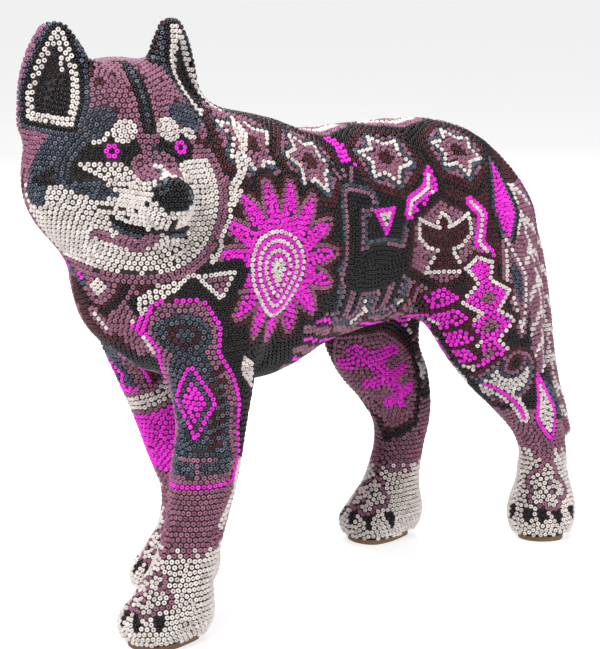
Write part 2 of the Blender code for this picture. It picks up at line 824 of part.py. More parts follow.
def sole_plate(paw, sides=36):
    """Flat plate under a paw, its edge a little behind the lowest beads."""
    ankle, toes, _ = paw_frame(paw)
    centre = ankle + 0.4 * PAWS[paw][3] * toes
    angles = 2 * np.pi * np.arange(sides) / sides
    rays = np.stack([np.cos(angles), np.sin(angles), np.zeros(sides)], 1)
    low, high = np.zeros(sides), np.full(sides, 40.0)
    for _ in range(30):
        reach = (low + high) / 2
        places = centre + reach[:, None] * rays + 0.5 * COAT_FOOT * Z_AXIS
        outside = trunk_field(places) + SOLE_INSET > 0
        high = np.where(outside, reach, high)
        low = np.where(outside, low, reach)
    edge = centre + low[:, None] * rays
    return prism(edge, edge + SOLE_TOP * Z_AXIS)


# ---------------------------------------------------------------- wooden cores
def combine(node, shape, operation):
    """Boolean of a node with a solid given by vertices and faces."""
    cutter = add_node("cutter", *shape, "carved_wood")
    tool = node.modifiers.new("cut", "BOOLEAN")
    tool.operation = operation
    tool.solver = "EXACT"
    tool.object = cutter
    graph = bpy.context.evaluated_depsgraph_get()
    result = bpy.data.meshes.new_from_object(node.evaluated_get(graph))
    node.modifiers.clear()
    node.data = result
    bpy.data.objects.remove(cutter)


def box_around(points, margin):
    points = np.array(points, float)
    return points.min(0) - margin, points.max(0) + margin


def grown(verts, faces, field, amount):
    """The same solid with every vertex moved outwards."""
    return verts + amount * slope(field, verts), faces


def bare_wood(points):
    """The carved shape without the ears and the tail."""
    return blend(trunk_field(points), skull_field(points), 9) + CORE_TOP


def ear_wood(side):
    return lambda points: ear_field(points, side) + CORE_TOP


def tail_wood(points):
    return tail_field(points) + CORE_TOP


def make_cores():
    """The wooden parts without their bores, by name."""
    wood, wood_faces = level_surface(bare_wood, (-56, -150, -8), (58, 148, 240), WOOD_TRIANGLES)
    cores = {}

    def start(name, verts, faces):
        cores[name] = add_node(name + "_core", verts, faces, "carved_wood")
        return cores[name]

    ground = half_space(0.4 * SOLE_TOP * Z_AXIS, -Z_AXIS, 160.0)
    torso = start("torso", wood, wood_faces)
    combine(torso, head_room(JOINT_GAP), "DIFFERENCE")
    head = start("head", wood, wood_faces)
    combine(head, head_room(-JOINT_GAP), "INTERSECT")
    for name in LEGS:
        combine(torso, leg_wedge(name, JOINT_GAP), "DIFFERENCE")
        leg = start(name + "_leg", wood, wood_faces)
        combine(leg, leg_wedge(name, -JOINT_GAP), "INTERSECT")
        combine(leg, ground, "DIFFERENCE")
        combine(leg, sole_plate(name), "UNION")
    for name, side in (("left_ear", 1), ("right_ear", -1)):
        base, tip, _, _, length = ear_points(side)
        field = ear_wood(side)
        ear_box = box_around([base, tip], 22)
        verts, faces = level_surface(field, *ear_box, EAR_TRIANGLES, FINE_GRID)
        foot = base - EAR_SOCKET * length
        combine(start(name, verts, faces), half_space(foot, -length), "DIFFERENCE")
        socket = start("socket", *grown(verts, faces, field, 2 * JOINT_GAP))
        combine(socket, half_space(foot - 2 * JOINT_GAP * length, -length), "DIFFERENCE")
        socket_verts = np.array([v.co for v in socket.data.vertices]) / MM + ORIGIN
        socket_faces = [tuple(p.vertices) for p in socket.data.polygons]
        bpy.data.objects.remove(cores.pop("socket"))
        combine(head, (socket_verts, socket_faces), "DIFFERENCE")
    tail_box = box_around([row[:3] for row in TAIL], 16)
    tail = start("tail", *level_surface(tail_wood, *tail_box, TAIL_TRIANGLES, FINE_GRID))
    combine(tail, grown(wood, wood_faces, bare_wood, 2 * JOINT_GAP), "DIFFERENCE")
    return cores


def dowel_table():
    """Dowel name -> middle, axis, (radius, half length), the two cores it joins."""
    upwards = unit(HEAD - np.array(NECK[0][:3]))
    table = {"neck_dowel": (HEAD - NECK_SEAT * upwards, upwards, NECK_DOWEL, ("torso", "head"))}
    for name in LEGS:
        point, outward = leg_plane(name)
        across = side_of(name) * LEG_DOWEL_X
        middle = np.array([across, LEGS[name][1][1], point[2] - abs(point[0]) + LEG_DOWEL_X])
        table[name + "_leg_dowel"] = (middle, outward, LEG_DOWEL, ("torso", name + "_leg"))
    table["tail_dowel"] = (np.array(TAIL_PEG), unit(TAIL_PEG_OUT), TAIL_DOWEL, ("torso", "tail"))
    for name, side in (("left_ear", 1), ("right_ear", -1)):
        base, _, _, _, length = ear_points(side)
        table[name + "_dowel"] = (base - EAR_SOCKET * length, length, EAR_DOWEL, ("head", name))
    return table


def make_wood():
    cores = make_cores()
    for name, (middle, axis, (radius, half), joined) in dowel_table().items():
        for core in joined:
            combine(cores[core], rod(middle, axis, radius + DOWEL_FIT, half + 0.5), "DIFFERENCE")
        add_node(name, *rod(middle, axis, radius, half), "dowel_wood")


def clear_scene():
    for item in list(bpy.data.objects):
        bpy.data.objects.remove(item)


clear_scene()
make_skins()
make_wood()
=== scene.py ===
"""Looks of the beaded wolf: about twenty-five thousand glass beads set row by row in wax.

The figure's shape is given by the same fields as the CAD part.  Beads are spread over it, pulled
into rows that follow the outlines of the motifs, and painted from those motifs.
Lengths are millimetres in the figure's own frame; objects are written in metres.
"""
import bpy
import numpy as np
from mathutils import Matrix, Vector
from mathutils.bvhtree import BVHTree


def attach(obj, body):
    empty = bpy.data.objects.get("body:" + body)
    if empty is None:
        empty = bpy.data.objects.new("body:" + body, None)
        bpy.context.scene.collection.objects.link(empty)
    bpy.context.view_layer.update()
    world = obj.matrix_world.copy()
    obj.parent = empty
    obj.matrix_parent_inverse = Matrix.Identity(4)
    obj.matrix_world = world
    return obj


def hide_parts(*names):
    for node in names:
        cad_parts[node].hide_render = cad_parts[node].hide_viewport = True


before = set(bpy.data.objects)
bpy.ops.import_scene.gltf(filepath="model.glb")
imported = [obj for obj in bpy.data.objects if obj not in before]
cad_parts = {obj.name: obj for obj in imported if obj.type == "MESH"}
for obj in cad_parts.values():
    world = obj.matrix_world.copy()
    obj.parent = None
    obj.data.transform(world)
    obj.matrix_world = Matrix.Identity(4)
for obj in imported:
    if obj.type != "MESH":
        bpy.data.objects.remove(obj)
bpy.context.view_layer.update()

MM = 0.001
ORIGIN = np.array([0.97, -0.18, 0.0])
X_AXIS, Y_AXIS, Z_AXIS = np.eye(3)

# ---------------------------------------------------------------- beads (mm)
PITCH = 1.94                             # distance aimed at between neighbouring beads
ROW = 1.70                               # distance aimed at between rows along an outline
BEAD_RADIUS = 1.0
BEAD_HEIGHT = 1.4
HOLE_RADIUS = 0.33
WAX_DEPTH = 0.85                         # wax surface under the bead tops
COAT_FOOT = 2.4                          # height of the wax's lower edge
RELAX_ROUNDS = 5
RELAX_STEPS = 8
LAST_STEPS = 3
RELAX_REACH = 1.35                       # how far beads push each other, in pitches
START_GAP = 0.80                         # least distance between beads, in pitches
ROUND_GAP = 0.78
LAST_GAP = 0.82
FILL_REACH = 0.76                        # spots this near to a bead, in pitches, are taken
FILL_GAP = 0.90
EYE_GAP = 1.75                           # other beads keep this far, in pitches, from an eye
FOOT_MARGIN = 0.7                        # bead centres start this far above COAT_FOOT
FACING_SLOPE = 0.75                      # squared slope of a sheet where every row pulls
OBLIQUE_SLOPE = 0.25                     # and where only the outline still does
BEAD_SEED = 11
TONE_SEED = 5
TONE_MEAN, TONE_SPREAD = 0.5, 0.22
BEAD_SIZES = (0.955, 1.02)               # smallest and largest bead, in bead radii
BEAD_TILT = 0.05
SKIN_STEP = 2.0                          # grid step of the skin's and the wax's mesh

# ---------------------------------------------------------------- shape of the figure (mm)
TORSO = [
    (-92, 132, 25, 26), (-80, 135, 31, 38), (-60, 139, 35, 47), (-40, 139, 36, 50),
    (-15, 141, 33, 44), (12, 143, 31, 42), (40, 144, 31, 41), (62, 144, 31, 38),
    (80, 138, 28, 31), (92, 133, 21, 24),
]
NECK = [(0, -52, 151, 30, 37), (-1, -72, 160, 32, 37), (-3, -88, 164, 30, 33)]
LEGS = {
    "left_front": [
        (19, -76, 135, 20, 29), (23, -78, 116, 17, 22), (24.5, -78, 98, 14.5, 17),
        (24, -78, 80, 12.8, 13.6), (23.5, -81, 62, 12.2, 13.4), (23, -85, 44, 11.2, 11.8),
        (22.5, -89, 30, 11, 12.2), (22, -94, 18, 12.5, 14),
    ],
    "right_front": [
        (-20, -76, 135, 20, 28), (-24, -73, 116, 17, 22), (-25, -69, 98, 14.5, 17),
        (-24, -64, 80, 12.8, 14), (-23, -58, 62, 12.2, 13.4), (-22, -53, 44, 11.2, 11.8),
        (-22, -53, 30, 11, 12.2), (-22, -56, 18, 12.5, 14),
    ],
    "left_hind": [
        (17, 62, 138, 19, 33), (23, 65, 116, 19.5, 32), (25, 70, 98, 17.5, 27),
        (25, 78, 82, 15, 20.5), (25, 88, 69, 12.8, 16), (25, 99, 54, 10.8, 12.2),
        (24, 105, 40, 10, 10.4), (22.5, 107, 28, 10.8, 11.5), (22, 108, 17, 12.5, 13.5),
    ],
    "right_hind": [
        (-17, 52, 138, 19, 32), (-23, 48, 116, 19.5, 31), (-24, 47, 98, 18, 25),
        (-23, 50, 82, 16, 21), (-22, 58, 69, 13.8, 18), (-22, 64, 54, 12, 13.8),
        (-22, 63, 40, 10.6, 11.2), (-22, 60, 28, 10.8, 12), (-21, 56, 17, 12.5, 14),
    ],
}
PAWS = {
    "left_front": (22, -96, 0, 11),
    "right_front": (-22, -58, 0, 11),
    "right_hind": (-21, 54, 0, 11),
    "left_hind": (22, 107, 45, 6.5),
}
TAIL = [
    (0, 83, 161, 9, 10), (2, 96, 148, 10, 10.5), (5, 106, 126, 10.5, 11), (7, 110, 102, 11, 11),
    (9, 112, 80, 11, 10.5), (11, 116, 64, 9.5, 9), (13, 122, 52, 7, 7), (15, 128, 42, 3.5, 3.5),
]
HEAD = np.array([-2.0, -97.0, 178.0])
HEADING = np.radians(-12.0)
EAR_BASE = (-7, 22.5, 22)
EAR_TIP = (-8, 23.5, 51.5)
EAR_TURN = np.radians(36)
FORWARD = np.array([np.cos(HEADING), np.sin(HEADING), 0.0])
LEFT = np.array([-np.sin(HEADING), np.cos(HEADING), 0.0])
REACH = 24.0


def unit(vector):
    vector = np.asarray(vector, float)
    return vector / np.linalg.norm(vector)


def on_head(forward, left, up):
    """A point given in head coordinates."""
    return HEAD + forward * FORWARD + left * LEFT + up * Z_AXIS


def smooth_stations(stations, steps=4):
    """Catmull-Rom curve through the stations."""
    rows = np.array(stations, float)
    if len(rows) < 3:
        return rows
    out = []
    for i in range(len(rows) - 1):
        before, a = rows[max(i - 1, 0)], rows[i]
        b, after = rows[i + 1], rows[min(i + 2, len(rows) - 1)]
        for k in range(steps):
            t = k / steps
            out.append(0.5 * (2 * a + (b - before) * t
                              + (2 * before - 5 * a + 4 * b - after) * t * t
                              + (3 * a - before - 3 * b + after) * t ** 3))
    out.append(rows[-1])
    return np.array(out)


def limb(points, stations, across, along):
    """Signed distance to an elliptical limb through the stations (x, y, z, radius, radius)."""
    rows = smooth_stations(stations)
    low = (rows[:, :3] - rows[:, 3:].max() - REACH).min(0)
    high = (rows[:, :3] + rows[:, 3:].max() + REACH).max(0)
    near = np.all((points > low) & (points < high), axis=1)
    sample = points[near]
    best = np.full(len(sample), 1000.0)
    for start, end in zip(rows[:-1], rows[1:]):
        span = end[:3] - start[:3]
        offset = sample - start[:3]
        t = np.clip(offset @ span / (span @ span), 0, 1)
        offset = offset - t[:, None] * span
        ra = start[3] + (end[3] - start[3]) * t
        rb = start[4] + (end[4] - start[4]) * t
        small = np.minimum(ra, rb)
        u, v = offset @ across, offset @ along
        rest = np.maximum((offset * offset).sum(1) - u * u - v * v, 0)
        ratio = np.sqrt((u / ra) ** 2 + (v / rb) ** 2 + rest / small ** 2)
        best = np.minimum(best, (ratio - 1) * small)
    field = np.full(len(points), REACH)
    field[near] = np.minimum(best, REACH)
    return field


def ellipsoid(points, centre, radii, axes):
    offset = (points - np.asarray(centre, float)) @ np.array(axes).T
    radii = np.asarray(radii, float)
    scaled = np.sqrt(((offset / radii) ** 2).sum(1))
    slope = np.sqrt(((offset / radii ** 2) ** 2).sum(1)) + 1e-9
    return scaled * (scaled - 1) / slope


def blend(a, b, width):
    """Smooth union of two fields."""
    h = np.clip(0.5 + 0.5 * (b - a) / width, 0, 1)
    return b + (a - b) * h - width * h * (1 - h)


def carve(a, b, width):
    """Field a with field b taken away, with a rounded rim."""
    return -blend(-a, b, width)


def paw_frame(paw):
    x, y, turn, _ = PAWS[paw]
    angle = np.radians(turn)
    toes = np.array([np.sin(angle), -np.cos(angle), 0.0])
    side = np.array([np.cos(angle), np.sin(angle), 0.0])
    return np.array([x, y, 0.0], float), toes, side


def paw_field(points, paw):
    ankle, toes, side = paw_frame(paw)
    reach = PAWS[paw][3]
    rows = [
        tuple(ankle - 4 * toes + 10 * Z_AXIS) + (13.5, 12),
        tuple(ankle + 0.5 * reach * toes + 9 * Z_AXIS) + (14.5, 12),
        tuple(ankle + reach * toes + 7.5 * Z_AXIS) + (14, 10),
    ]
    return limb(points, rows, side, Z_AXIS)


def ear_points(side):
    turn = EAR_TURN * side
    facing = FORWARD * np.cos(turn) + LEFT * np.sin(turn)
    base = on_head(EAR_BASE[0], side * EAR_BASE[1], EAR_BASE[2])
    tip = on_head(EAR_TIP[0], side * EAR_TIP[1], EAR_TIP[2])
    length = unit(tip - base)
    return base, tip, facing, unit(np.cross(length, facing)), length


def ear_field(points, side):
    base, tip, facing, width, length = ear_points(side)
    rise = tip - base
    rows = [
        tuple(base - 6 * length) + (16, 9),
        tuple(base + 0.25 * rise) + (14.5, 8),
        tuple(base + 0.6 * rise) + (11, 6.5),
        tuple(base + 0.85 * rise) + (6.5, 4.5),
    ]
    outside = limb(points, rows, width, facing)
    hollow = ellipsoid(points, base + 0.33 * rise + 10.5 * facing, (7.0, 9, 16.5),
                       (facing, width, length))
    return carve(outside, hollow, 3.0)


def skull_field(points):
    axes = (FORWARD, LEFT, Z_AXIS)
    skull = ellipsoid(points, on_head(-7, 0, 8), (31, 32, 30), axes)
    cheeks = ellipsoid(points, on_head(-6, 0, -6), (24, 37, 31.5), axes)
    muzzle = limb(points, [
        tuple(on_head(8, 0, -7)) + (18, 16),
        tuple(on_head(22, 0, -9)) + (14, 13),
        tuple(on_head(35, 0, -10.5)) + (10.5, 10.5),
    ], LEFT, Z_AXIS)
    jaw = limb(points, [
        tuple(on_head(6, 0, -21)) + (19, 11),
        tuple(on_head(20, 0, -21.5)) + (13, 7.5),
        tuple(on_head(31, 0, -21)) + (7.5, 5),
    ], LEFT, Z_AXIS)
    nose = ellipsoid(points, on_head(42, 0, -7.5), (6, 7.2, 6), axes)
    field = blend(skull, cheeks, 8)
    field = blend(field, muzzle, 7)
    field = blend(field, jaw, 4)
    return blend(field, nose, 2.5)


def head_field(points):
    field = skull_field(points)
    for side in (-1, 1):
        field = blend(field, ear_field(points, side), 5)
    return field


def trunk_field(points):
    torso = [(0, y, z, wide, high) for y, z, wide, high in TORSO]
    field = limb(points, torso, X_AXIS, Z_AXIS)
    field = blend(field, limb(points, NECK, X_AXIS, unit((0, 0.4, 0.9))), 14)
    for name, stations in LEGS.items():
        leg = blend(limb(points, stations, X_AXIS, Y_AXIS), paw_field(points, name), 6)
        field = blend(field, leg, 9)
    return field


def figure_field(points):
    field = blend(trunk_field(points), head_field(points), 9)
    return blend(field, limb(points, TAIL, X_AXIS, Y_AXIS), 4)


def slope(field, points, step=0.05):
    """Unit outward direction of a field at the points."""
    grad = np.empty_like(points)
    for axis in range(3):
        shift = np.eye(3)[axis] * step
        grad[:, axis] = field(points + shift) - field(points - shift)
    return grad / (np.linalg.norm(grad, axis=1)[:, None] + 1e-12)


# ---------------------------------------------------------------- surface mesh
BOX_LOW = np.array([-56.0, -150.0, -8.0])
BOX_HIGH = np.array([58.0, 148.0, 240.0])
NEAR_SKIN = 1.6                          # reach of the exact values, in coarse grid steps


def sample_field(field, step, coarse=4):
    """Field values on a grid; exact near the surface, from a coarser grid elsewhere."""
    counts = (np.ceil((BOX_HIGH - BOX_LOW) / (step * coarse)).astype(int) + 1)
    axes = [BOX_LOW[i] + step * coarse * np.arange(counts[i]) for i in range(3)]
    grid = np.stack(np.meshgrid(*axes, indexing="ij"), -1).reshape(-1, 3)
    values = field(grid).reshape(counts)
    for axis in range(3):
        values = np.repeat(values, coarse, axis=axis)
    near = np.argwhere(np.abs(values) < NEAR_SKIN * step * coarse)
    values[tuple(near.T)] = field(BOX_LOW + step * near)
    return values


def surface_net(values, low, step):
    """Quad mesh of the zero level of a sampled field."""
    corners = [(i, j, k) for i in (0, 1) for j in (0, 1) for k in (0, 1)]
    shape = tuple(n - 1 for n in values.shape)
    total = np.zeros(shape + (3,))
    count = np.zeros(shape)
    for first, a in enumerate(corners):
        for b in corners[first + 1:]:
            if sum(abs(p - q) for p, q in zip(a, b)) != 1:
                continue
            fa = values[tuple(slice(o, o + n) for o, n in zip(a, shape))]
            fb = values[tuple(slice(o, o + n) for o, n in zip(b, shape))]
            crosses = (fa < 0) != (fb < 0)
            t = np.where(crosses, fa / np.where(crosses, fa - fb, 1), 0)
            place = np.array(a, float) + t[..., None] * (np.array(b, float) - np.array(a, float))
            total += np.where(crosses[..., None], place, 0)
            count += crosses
    used = count > 0
    index = np.full(shape, -1)
    index[used] = np.arange(used.sum())
    verts = low + step * (np.argwhere(used) + total[used] / count[used][:, None])
    return verts, np.vstack([net_faces(values < 0, index, axis) for axis in range(3)])


def net_faces(inside, index, axis):
    """Quads around the grid edges along one axis that cross the surface."""
    start, end = [slice(1, -1)] * 3, [slice(1, -1)] * 3
    start[axis], end[axis] = slice(0, -1), slice(1, None)
    first, second = inside[tuple(start)], inside[tuple(end)]
    cells = np.argwhere(first != second)
    corner = cells + np.array([0 if k == axis else 1 for k in range(3)])
    across = np.eye(3, dtype=int)[(axis + 1) % 3]
    upward = np.eye(3, dtype=int)[(axis + 2) % 3]
    ring = [corner - across - upward, corner - upward, corner, corner - across]
    quads = np.stack([index[tuple(cell.T)] for cell in ring], 1)
    flip = ~first[tuple(cells.T)]
    quads[flip] = quads[flip][:, ::-1]
    return quads


class Surface:
    """Dense mesh of the figure used to keep beads on its skin."""

    def __init__(self, step):
        values = sample_field(figure_field, step)
        self.verts, self.quads = surface_net(values, BOX_LOW, step)
        self.tree = BVHTree.FromPolygons(self.verts.tolist(), self.quads.tolist())
        corners = self.verts[self.quads]
        cross = np.cross(corners[:, 2] - corners[:, 0], corners[:, 3] - corners[:, 1])
        size = np.linalg.norm(cross, axis=1)
        self.normals = cross / (size[:, None] + 1e-12)
        self.centres = corners.mean(1)
        self.areas = size / 2

    def snap(self, points):
        """Nearest surface points and face normals."""
        found = [self.tree.find_nearest(p) for p in points.tolist()]
        places = np.array([hit[0] for hit in found])
        return places, self.normals[[hit[2] for hit in found]]


# ---------------------------------------------------------------- spreading the beads
def close_pairs(points, radius):
    """Index pairs of points nearer to each other than the radius."""
    cells = np.floor(points / radius).astype(np.int64)
    cells -= cells.min(0) - 1
    size = cells.max(0) + 2
    key = (cells[:, 0] * size[1] + cells[:, 1]) * size[2] + cells[:, 2]
    order = np.argsort(key, kind="stable")
    ordered = key[order]
    pairs = []
    for dx, dy, dz in [(0, 0, 0), (1, 0, 0), (0, 1, 0), (0, 0, 1), (1, 1, 0), (1, -1, 0),
                       (1, 0, 1), (1, 0, -1), (0, 1, 1), (0, 1, -1), (1, 1, 1), (1, 1, -1),
                       (1, -1, 1), (1, -1, -1)]:
        wanted = key + (dx * size[1] + dy) * size[2] + dz
        begin = np.searchsorted(ordered, wanted, "left")
        count = np.searchsorted(ordered, wanted, "right") - begin
        a = np.repeat(np.arange(len(points)), count)
        step = np.arange(count.sum()) - np.repeat(np.cumsum(count) - count, count)
        b = order[np.repeat(begin, count) + step]
        if (dx, dy, dz) == (0, 0, 0):
            keep = a < b
            a, b = a[keep], b[keep]
        pairs.append(np.stack([a, b], 1))
    pairs = np.vstack(pairs)
    gap = points[pairs[:, 0]] - points[pairs[:, 1]]
    return pairs[(gap * gap).sum(1) < radius * radius]


def start_lattice(surface):
    """Points in horizontal rows on every side of the figure."""
    normals, centres = surface.normals, surface.centres
    facing = np.abs(normals).argmax(1)
    points = []
    for axis in range(3):
        u, v = [k for k in range(3) if k != axis]
        for sign in (-1, 1):
            mine = (facing == axis) & (np.sign(normals[:, axis]) == sign)
            spot = centres[mine]
            row = np.round(spot[:, v] / ROW)
            column = np.round(spot[:, u] / PITCH - 0.5 * (row % 2))
            cell = np.unique(np.stack([row, column], 1), axis=0, return_index=True)[1]
            chosen = spot[cell].copy()
            chosen[:, v] = row[cell] * ROW
            chosen[:, u] = (column[cell] + 0.5 * (row[cell] % 2)) * PITCH
            points.append(chosen)
    return np.vstack(points)


def relax(points, normals, surface, rows, steps):
    """Even out the spacing while pulling every bead onto its row."""
    reach = RELAX_REACH * PITCH
    for _ in range(steps):
        pairs = close_pairs(points, reach)
        gap = points[pairs[:, 0]] - points[pairs[:, 1]]
        length = np.linalg.norm(gap, axis=1) + 1e-9
        push = (0.5 * PITCH * (1 - length / reach) ** 1.5 / length)[:, None] * gap
        shift = np.zeros_like(points)
        for axis in range(3):
            shift[:, axis] += np.bincount(pairs[:, 0], push[:, axis], len(points))
            shift[:, axis] -= np.bincount(pairs[:, 1], push[:, axis], len(points))
        points = points + shift
        points = points + rows(points, normals)
        points, normals = surface.snap(points)
    return points


def thin_out(points, least):
    """Drop one of every two beads that are too close."""
    pairs = close_pairs(points, least)
    keep = np.ones(len(points), bool)
    for a, b in pairs[np.lexsort((pairs[:, 1], pairs[:, 0]))]:
        if keep[a] and keep[b]:
            keep[b] = False
    return points[keep]


def fill_gaps(points, surface, rng):
    """Add beads where the skin still shows a gap of about a bead."""
    spots = surface.centres[surface.centres[:, 2] > COAT_FOOT]
    spots = spots[rng.permutation(len(spots))]
    count = len(points)
    for _ in range(2):
        everything = np.vstack([points, spots])
        pairs = close_pairs(everything, FILL_REACH * PITCH)
        low, high = pairs.min(1), pairs.max(1)
        taken = np.zeros(len(everything), bool)
        taken[high[(low < count) & (high >= count)]] = True
        free = np.flatnonzero(~taken[count:])
        spots = spots[free]
        if not len(spots):
            break
        spots = thin_out(spots, FILL_GAP * PITCH)
        points = np.vstack([points, spots])
        count = len(points)
    return points


# ---------------------------------------------------------------- drawing on the skin
class Place:
    """Drawing sheet laid on the skin: x to the right and y up, as seen from outside.

    A sheet can be bent round a limb: bend_x and bend_y are the bending radii.
    """

    def __init__(self, centre, facing, up=(0, 0, 1), bend_x=None, bend_y=None, reach=30.0,
                 flip=None, shift=(0, 0, 0)):
        self.centre = np.asarray(centre, float)
        self.facing = unit(facing)
        self.right = unit(np.cross(up, self.facing))
        self.up = np.cross(self.facing, self.right)
        self.bend_x, self.bend_y, self.reach = bend_x, bend_y, reach
        self.plane = {None: None, "body": (np.zeros(3), X_AXIS), "head": (HEAD, LEFT)}[flip]
        self.shift = np.array(shift, float)

    def mirrored(self, points):
        """Points as the sheet's other hand sees them."""
        if self.plane is None:
            return points
        foot, across = self.plane
        return points - 2 * ((points - foot) @ across)[:, None] * across + self.shift

    def flat(self, points):
        offset = self.mirrored(points) - self.centre
        x, y, depth = offset @ self.right, offset @ self.up, offset @ self.facing
        if self.bend_x:
            x = self.bend_x * np.arctan2(x, self.bend_x + depth)
        if self.bend_y:
            y = self.bend_y * np.arctan2(y, self.bend_y + depth)
        return np.stack([x, y], 1)

    def near(self, points, normals):
        """Beads that this sheet can reach."""
        offset = self.mirrored(points) - self.centre
        close = np.linalg.norm(offset, axis=1) < self.reach
        if self.bend_x or self.bend_y:
            return np.flatnonzero(close & (offset @ self.facing > -2.2 * self.bend()))
        seen = normals
        if self.plane is not None:
            seen = normals - 2 * (normals @ self.plane[1])[:, None] * self.plane[1]
        return np.flatnonzero(close & (seen @ self.facing > 0.05))

    def bend(self):
        return self.bend_x or self.bend_y


def segment_distance(xy, start, end):
    span = end - start
    offset = xy - start
    t = np.clip(offset @ span / (span @ span), 0, 1)
    return np.linalg.norm(offset - t[:, None] * span, axis=1)


def polyline(*corners):
    """Distance to an open line."""
    line = np.array(corners, float)
    return lambda xy: np.min([segment_distance(xy, a, b) for a, b in zip(line[:-1], line[1:])], 0)


def polygon(*corners):
    """Signed distance to a closed outline, negative inside."""
    ring = np.array(corners, float)

    def distance(xy):
        edge = np.full(len(xy), np.inf)
        inside = np.zeros(len(xy), bool)
        for a, b in zip(ring, np.roll(ring, -1, axis=0)):
            edge = np.minimum(edge, segment_distance(xy, a, b))
            straddles = (a[1] > xy[:, 1]) != (b[1] > xy[:, 1])
            rise = b[1] - a[1] if b[1] != a[1] else 1e-9
            inside ^= straddles & (xy[:, 0] < a[0] + (xy[:, 1] - a[1]) * (b[0] - a[0]) / rise)
        return np.where(inside, -edge, edge)
    return distance


def disc(radius, centre=(0, 0)):
    return lambda xy: np.linalg.norm(xy - np.array(centre, float), axis=1) - radius


class Motif:
    """An outline on the skin with one colour for each bead row outside and inside of it."""

    def __init__(self, place, shape, outside=(), inside=(), only=None):
        self.place, self.shape = place, shape
        self.outside, self.inside, self.only = outside, inside, only

    def distance(self, points):
        return self.shape(self.place.flat(points))

    def covered(self, points, normals, regions):
        """Beads of this motif and their signed distance from its outline."""
        chosen = self.place.near(points, normals)
        if self.only is not None:
            chosen = chosen[np.isin(regions[chosen], self.only)]
        far = self.distance(points[chosen])
        if self.inside:
            keep = far < (len(self.outside) - 0.5) * ROW
        else:
            keep = np.abs(far) < (len(self.outside) - 0.5) * ROW
        return chosen[keep], far[keep]

    def colours(self, far):
        """Colour of each bead from its row; row 0 lies on the outline."""
        row = np.round(far / ROW).astype(int)
        if not self.inside:
            row = np.abs(row)
        out = np.empty(len(far), dtype=object)
        for k, name in enumerate(self.outside):
            out[row == k] = name
        for k, name in enumerate(self.inside):
            out[row <= -1 - k] = name
        return out

    def pull(self, points, normals, far):
        """Shift that brings beads onto their rows; on steep skin only the outline pulls."""
        step = 0.05
        grad = np.empty_like(points)
        for axis in range(3):
            grad[:, axis] = (self.distance(points + step * np.eye(3)[axis]) - far) / step
        grad -= (grad * normals).sum(1)[:, None] * normals
        steep = (grad * grad).sum(1)
        row = np.round(far / ROW)
        pulls = (steep > FACING_SLOPE) | ((row == 0) & (steep > OBLIQUE_SLOPE))
        return (pulls * (row * ROW - far) / (steep + 1e-6))[:, None] * grad


# ---------------------------------------------------------------- fields of beads
def head_side(points):
    """Positive on the head's side of the crease between head and neck."""
    return trunk_field(points) - head_field(points)


def tail_field(points):
    return limb(points, TAIL, X_AXIS, Y_AXIS)


SHANK_TOP = {"left_front": 57.0, "right_front": 54.0, "left_hind": 48.0, "right_hind": 48.0}
PAW_TOP = {"left_front": 33.0, "right_front": 31.0, "left_hind": 37.0, "right_hind": 30.0}
LEG_SPANS = {
    "left_front": (-118, -38), "right_front": (-112, -36),
    "left_hind": (38, 128), "right_hind": (22, 104),
}


def side_of(name):
    """+1 for a part on the figure's left, -1 on its right."""
    return 1.0 if name.startswith("left") else -1.0


def leg_side(name):
    """Positive inside the wedge of space that holds one leg."""
    height = 98.0 if name.endswith("front") else 100.0
    point = np.array([side_of(name) * 12.0, 0.0, height])
    outward = unit((side_of(name), 0.0, -1.0))
    low, high = LEG_SPANS[name]

    def rule(points):
        beyond = (points - point) @ outward
        bounded = np.minimum(points[:, 1] - low, high - points[:, 1])
        return np.minimum(np.minimum(beyond, bounded), side_of(name) * points[:, 0] - 2.0)
    return rule


def eye_side(points, side):
    offset = points - on_head(0, side * 13.5, 7)
    across = np.hypot(offset @ LEFT, offset @ Z_AXIS)
    return np.minimum(4.2 - across, offset @ FORWARD - 5)


def region_labels(points):
    """The bead coat to which each point belongs."""
    labels = np.full(len(points), "", dtype=object)

    def claim(name, mask):
        labels[mask & (labels == "")] = name

    x, y, z = points.T
    claim("nose", np.linalg.norm(points - on_head(44, 0, -7.5), axis=1) < 8.4)
    claim("tail", trunk_field(points) - tail_field(points) > 0.3)
    skull = skull_field(points)
    for name, side in (("left", 1), ("right", -1)):
        claim(name + "_eye", eye_side(points, side) > 0)
        claim(name + "_ear", skull - ear_field(points, side) > 0.5)
    head = head_side(points) > 0
    front = (points - on_head(-6, 0, 0)) @ FORWARD > 0
    offset = points - HEAD
    brow = offset @ Z_AXIS - 4.0 + 0.28 * np.abs(offset @ LEFT) > 0
    claim("forehead", head & front & brow)
    claim("cheeks_and_muzzle", head & front)
    claim("head_back", head)
    for name in LEGS:
        leg = leg_side(name)(points) > 0
        claim(name + "_paw", leg & (z < PAW_TOP[name]))
        claim(name + "_shank", leg & (z < SHANK_TOP[name]))
        claim(name + "_leg", leg)
    neck = (points - np.array([0.0, -56.0, 150.0])) @ unit((0, -0.82, 0.57)) > 0
    low_neck = (points - np.array([0.0, -70.0, 122.0])) @ unit((0, -0.75, -0.66)) > 0
    claim("chest", neck & low_neck)
    claim("neck_ruff", neck)
    claim("belly", z < 112.0)
    claim("back", z > 170.0)
    claim("left_thigh", (x > 0) & (y > 38.0))
    claim("right_thigh", y > 38.0)
    claim("left_flank", x > 0)
    claim("right_flank", x <= 0)
    return labels


# ---------------------------------------------------------------- outlines (mm on a sheet)
def polar(radii, angles, centre):
    """Corners at the given distances and angles (radians) round a centre."""
    return np.array(centre) + np.stack([radii * np.cos(angles), radii * np.sin(angles)], 1)


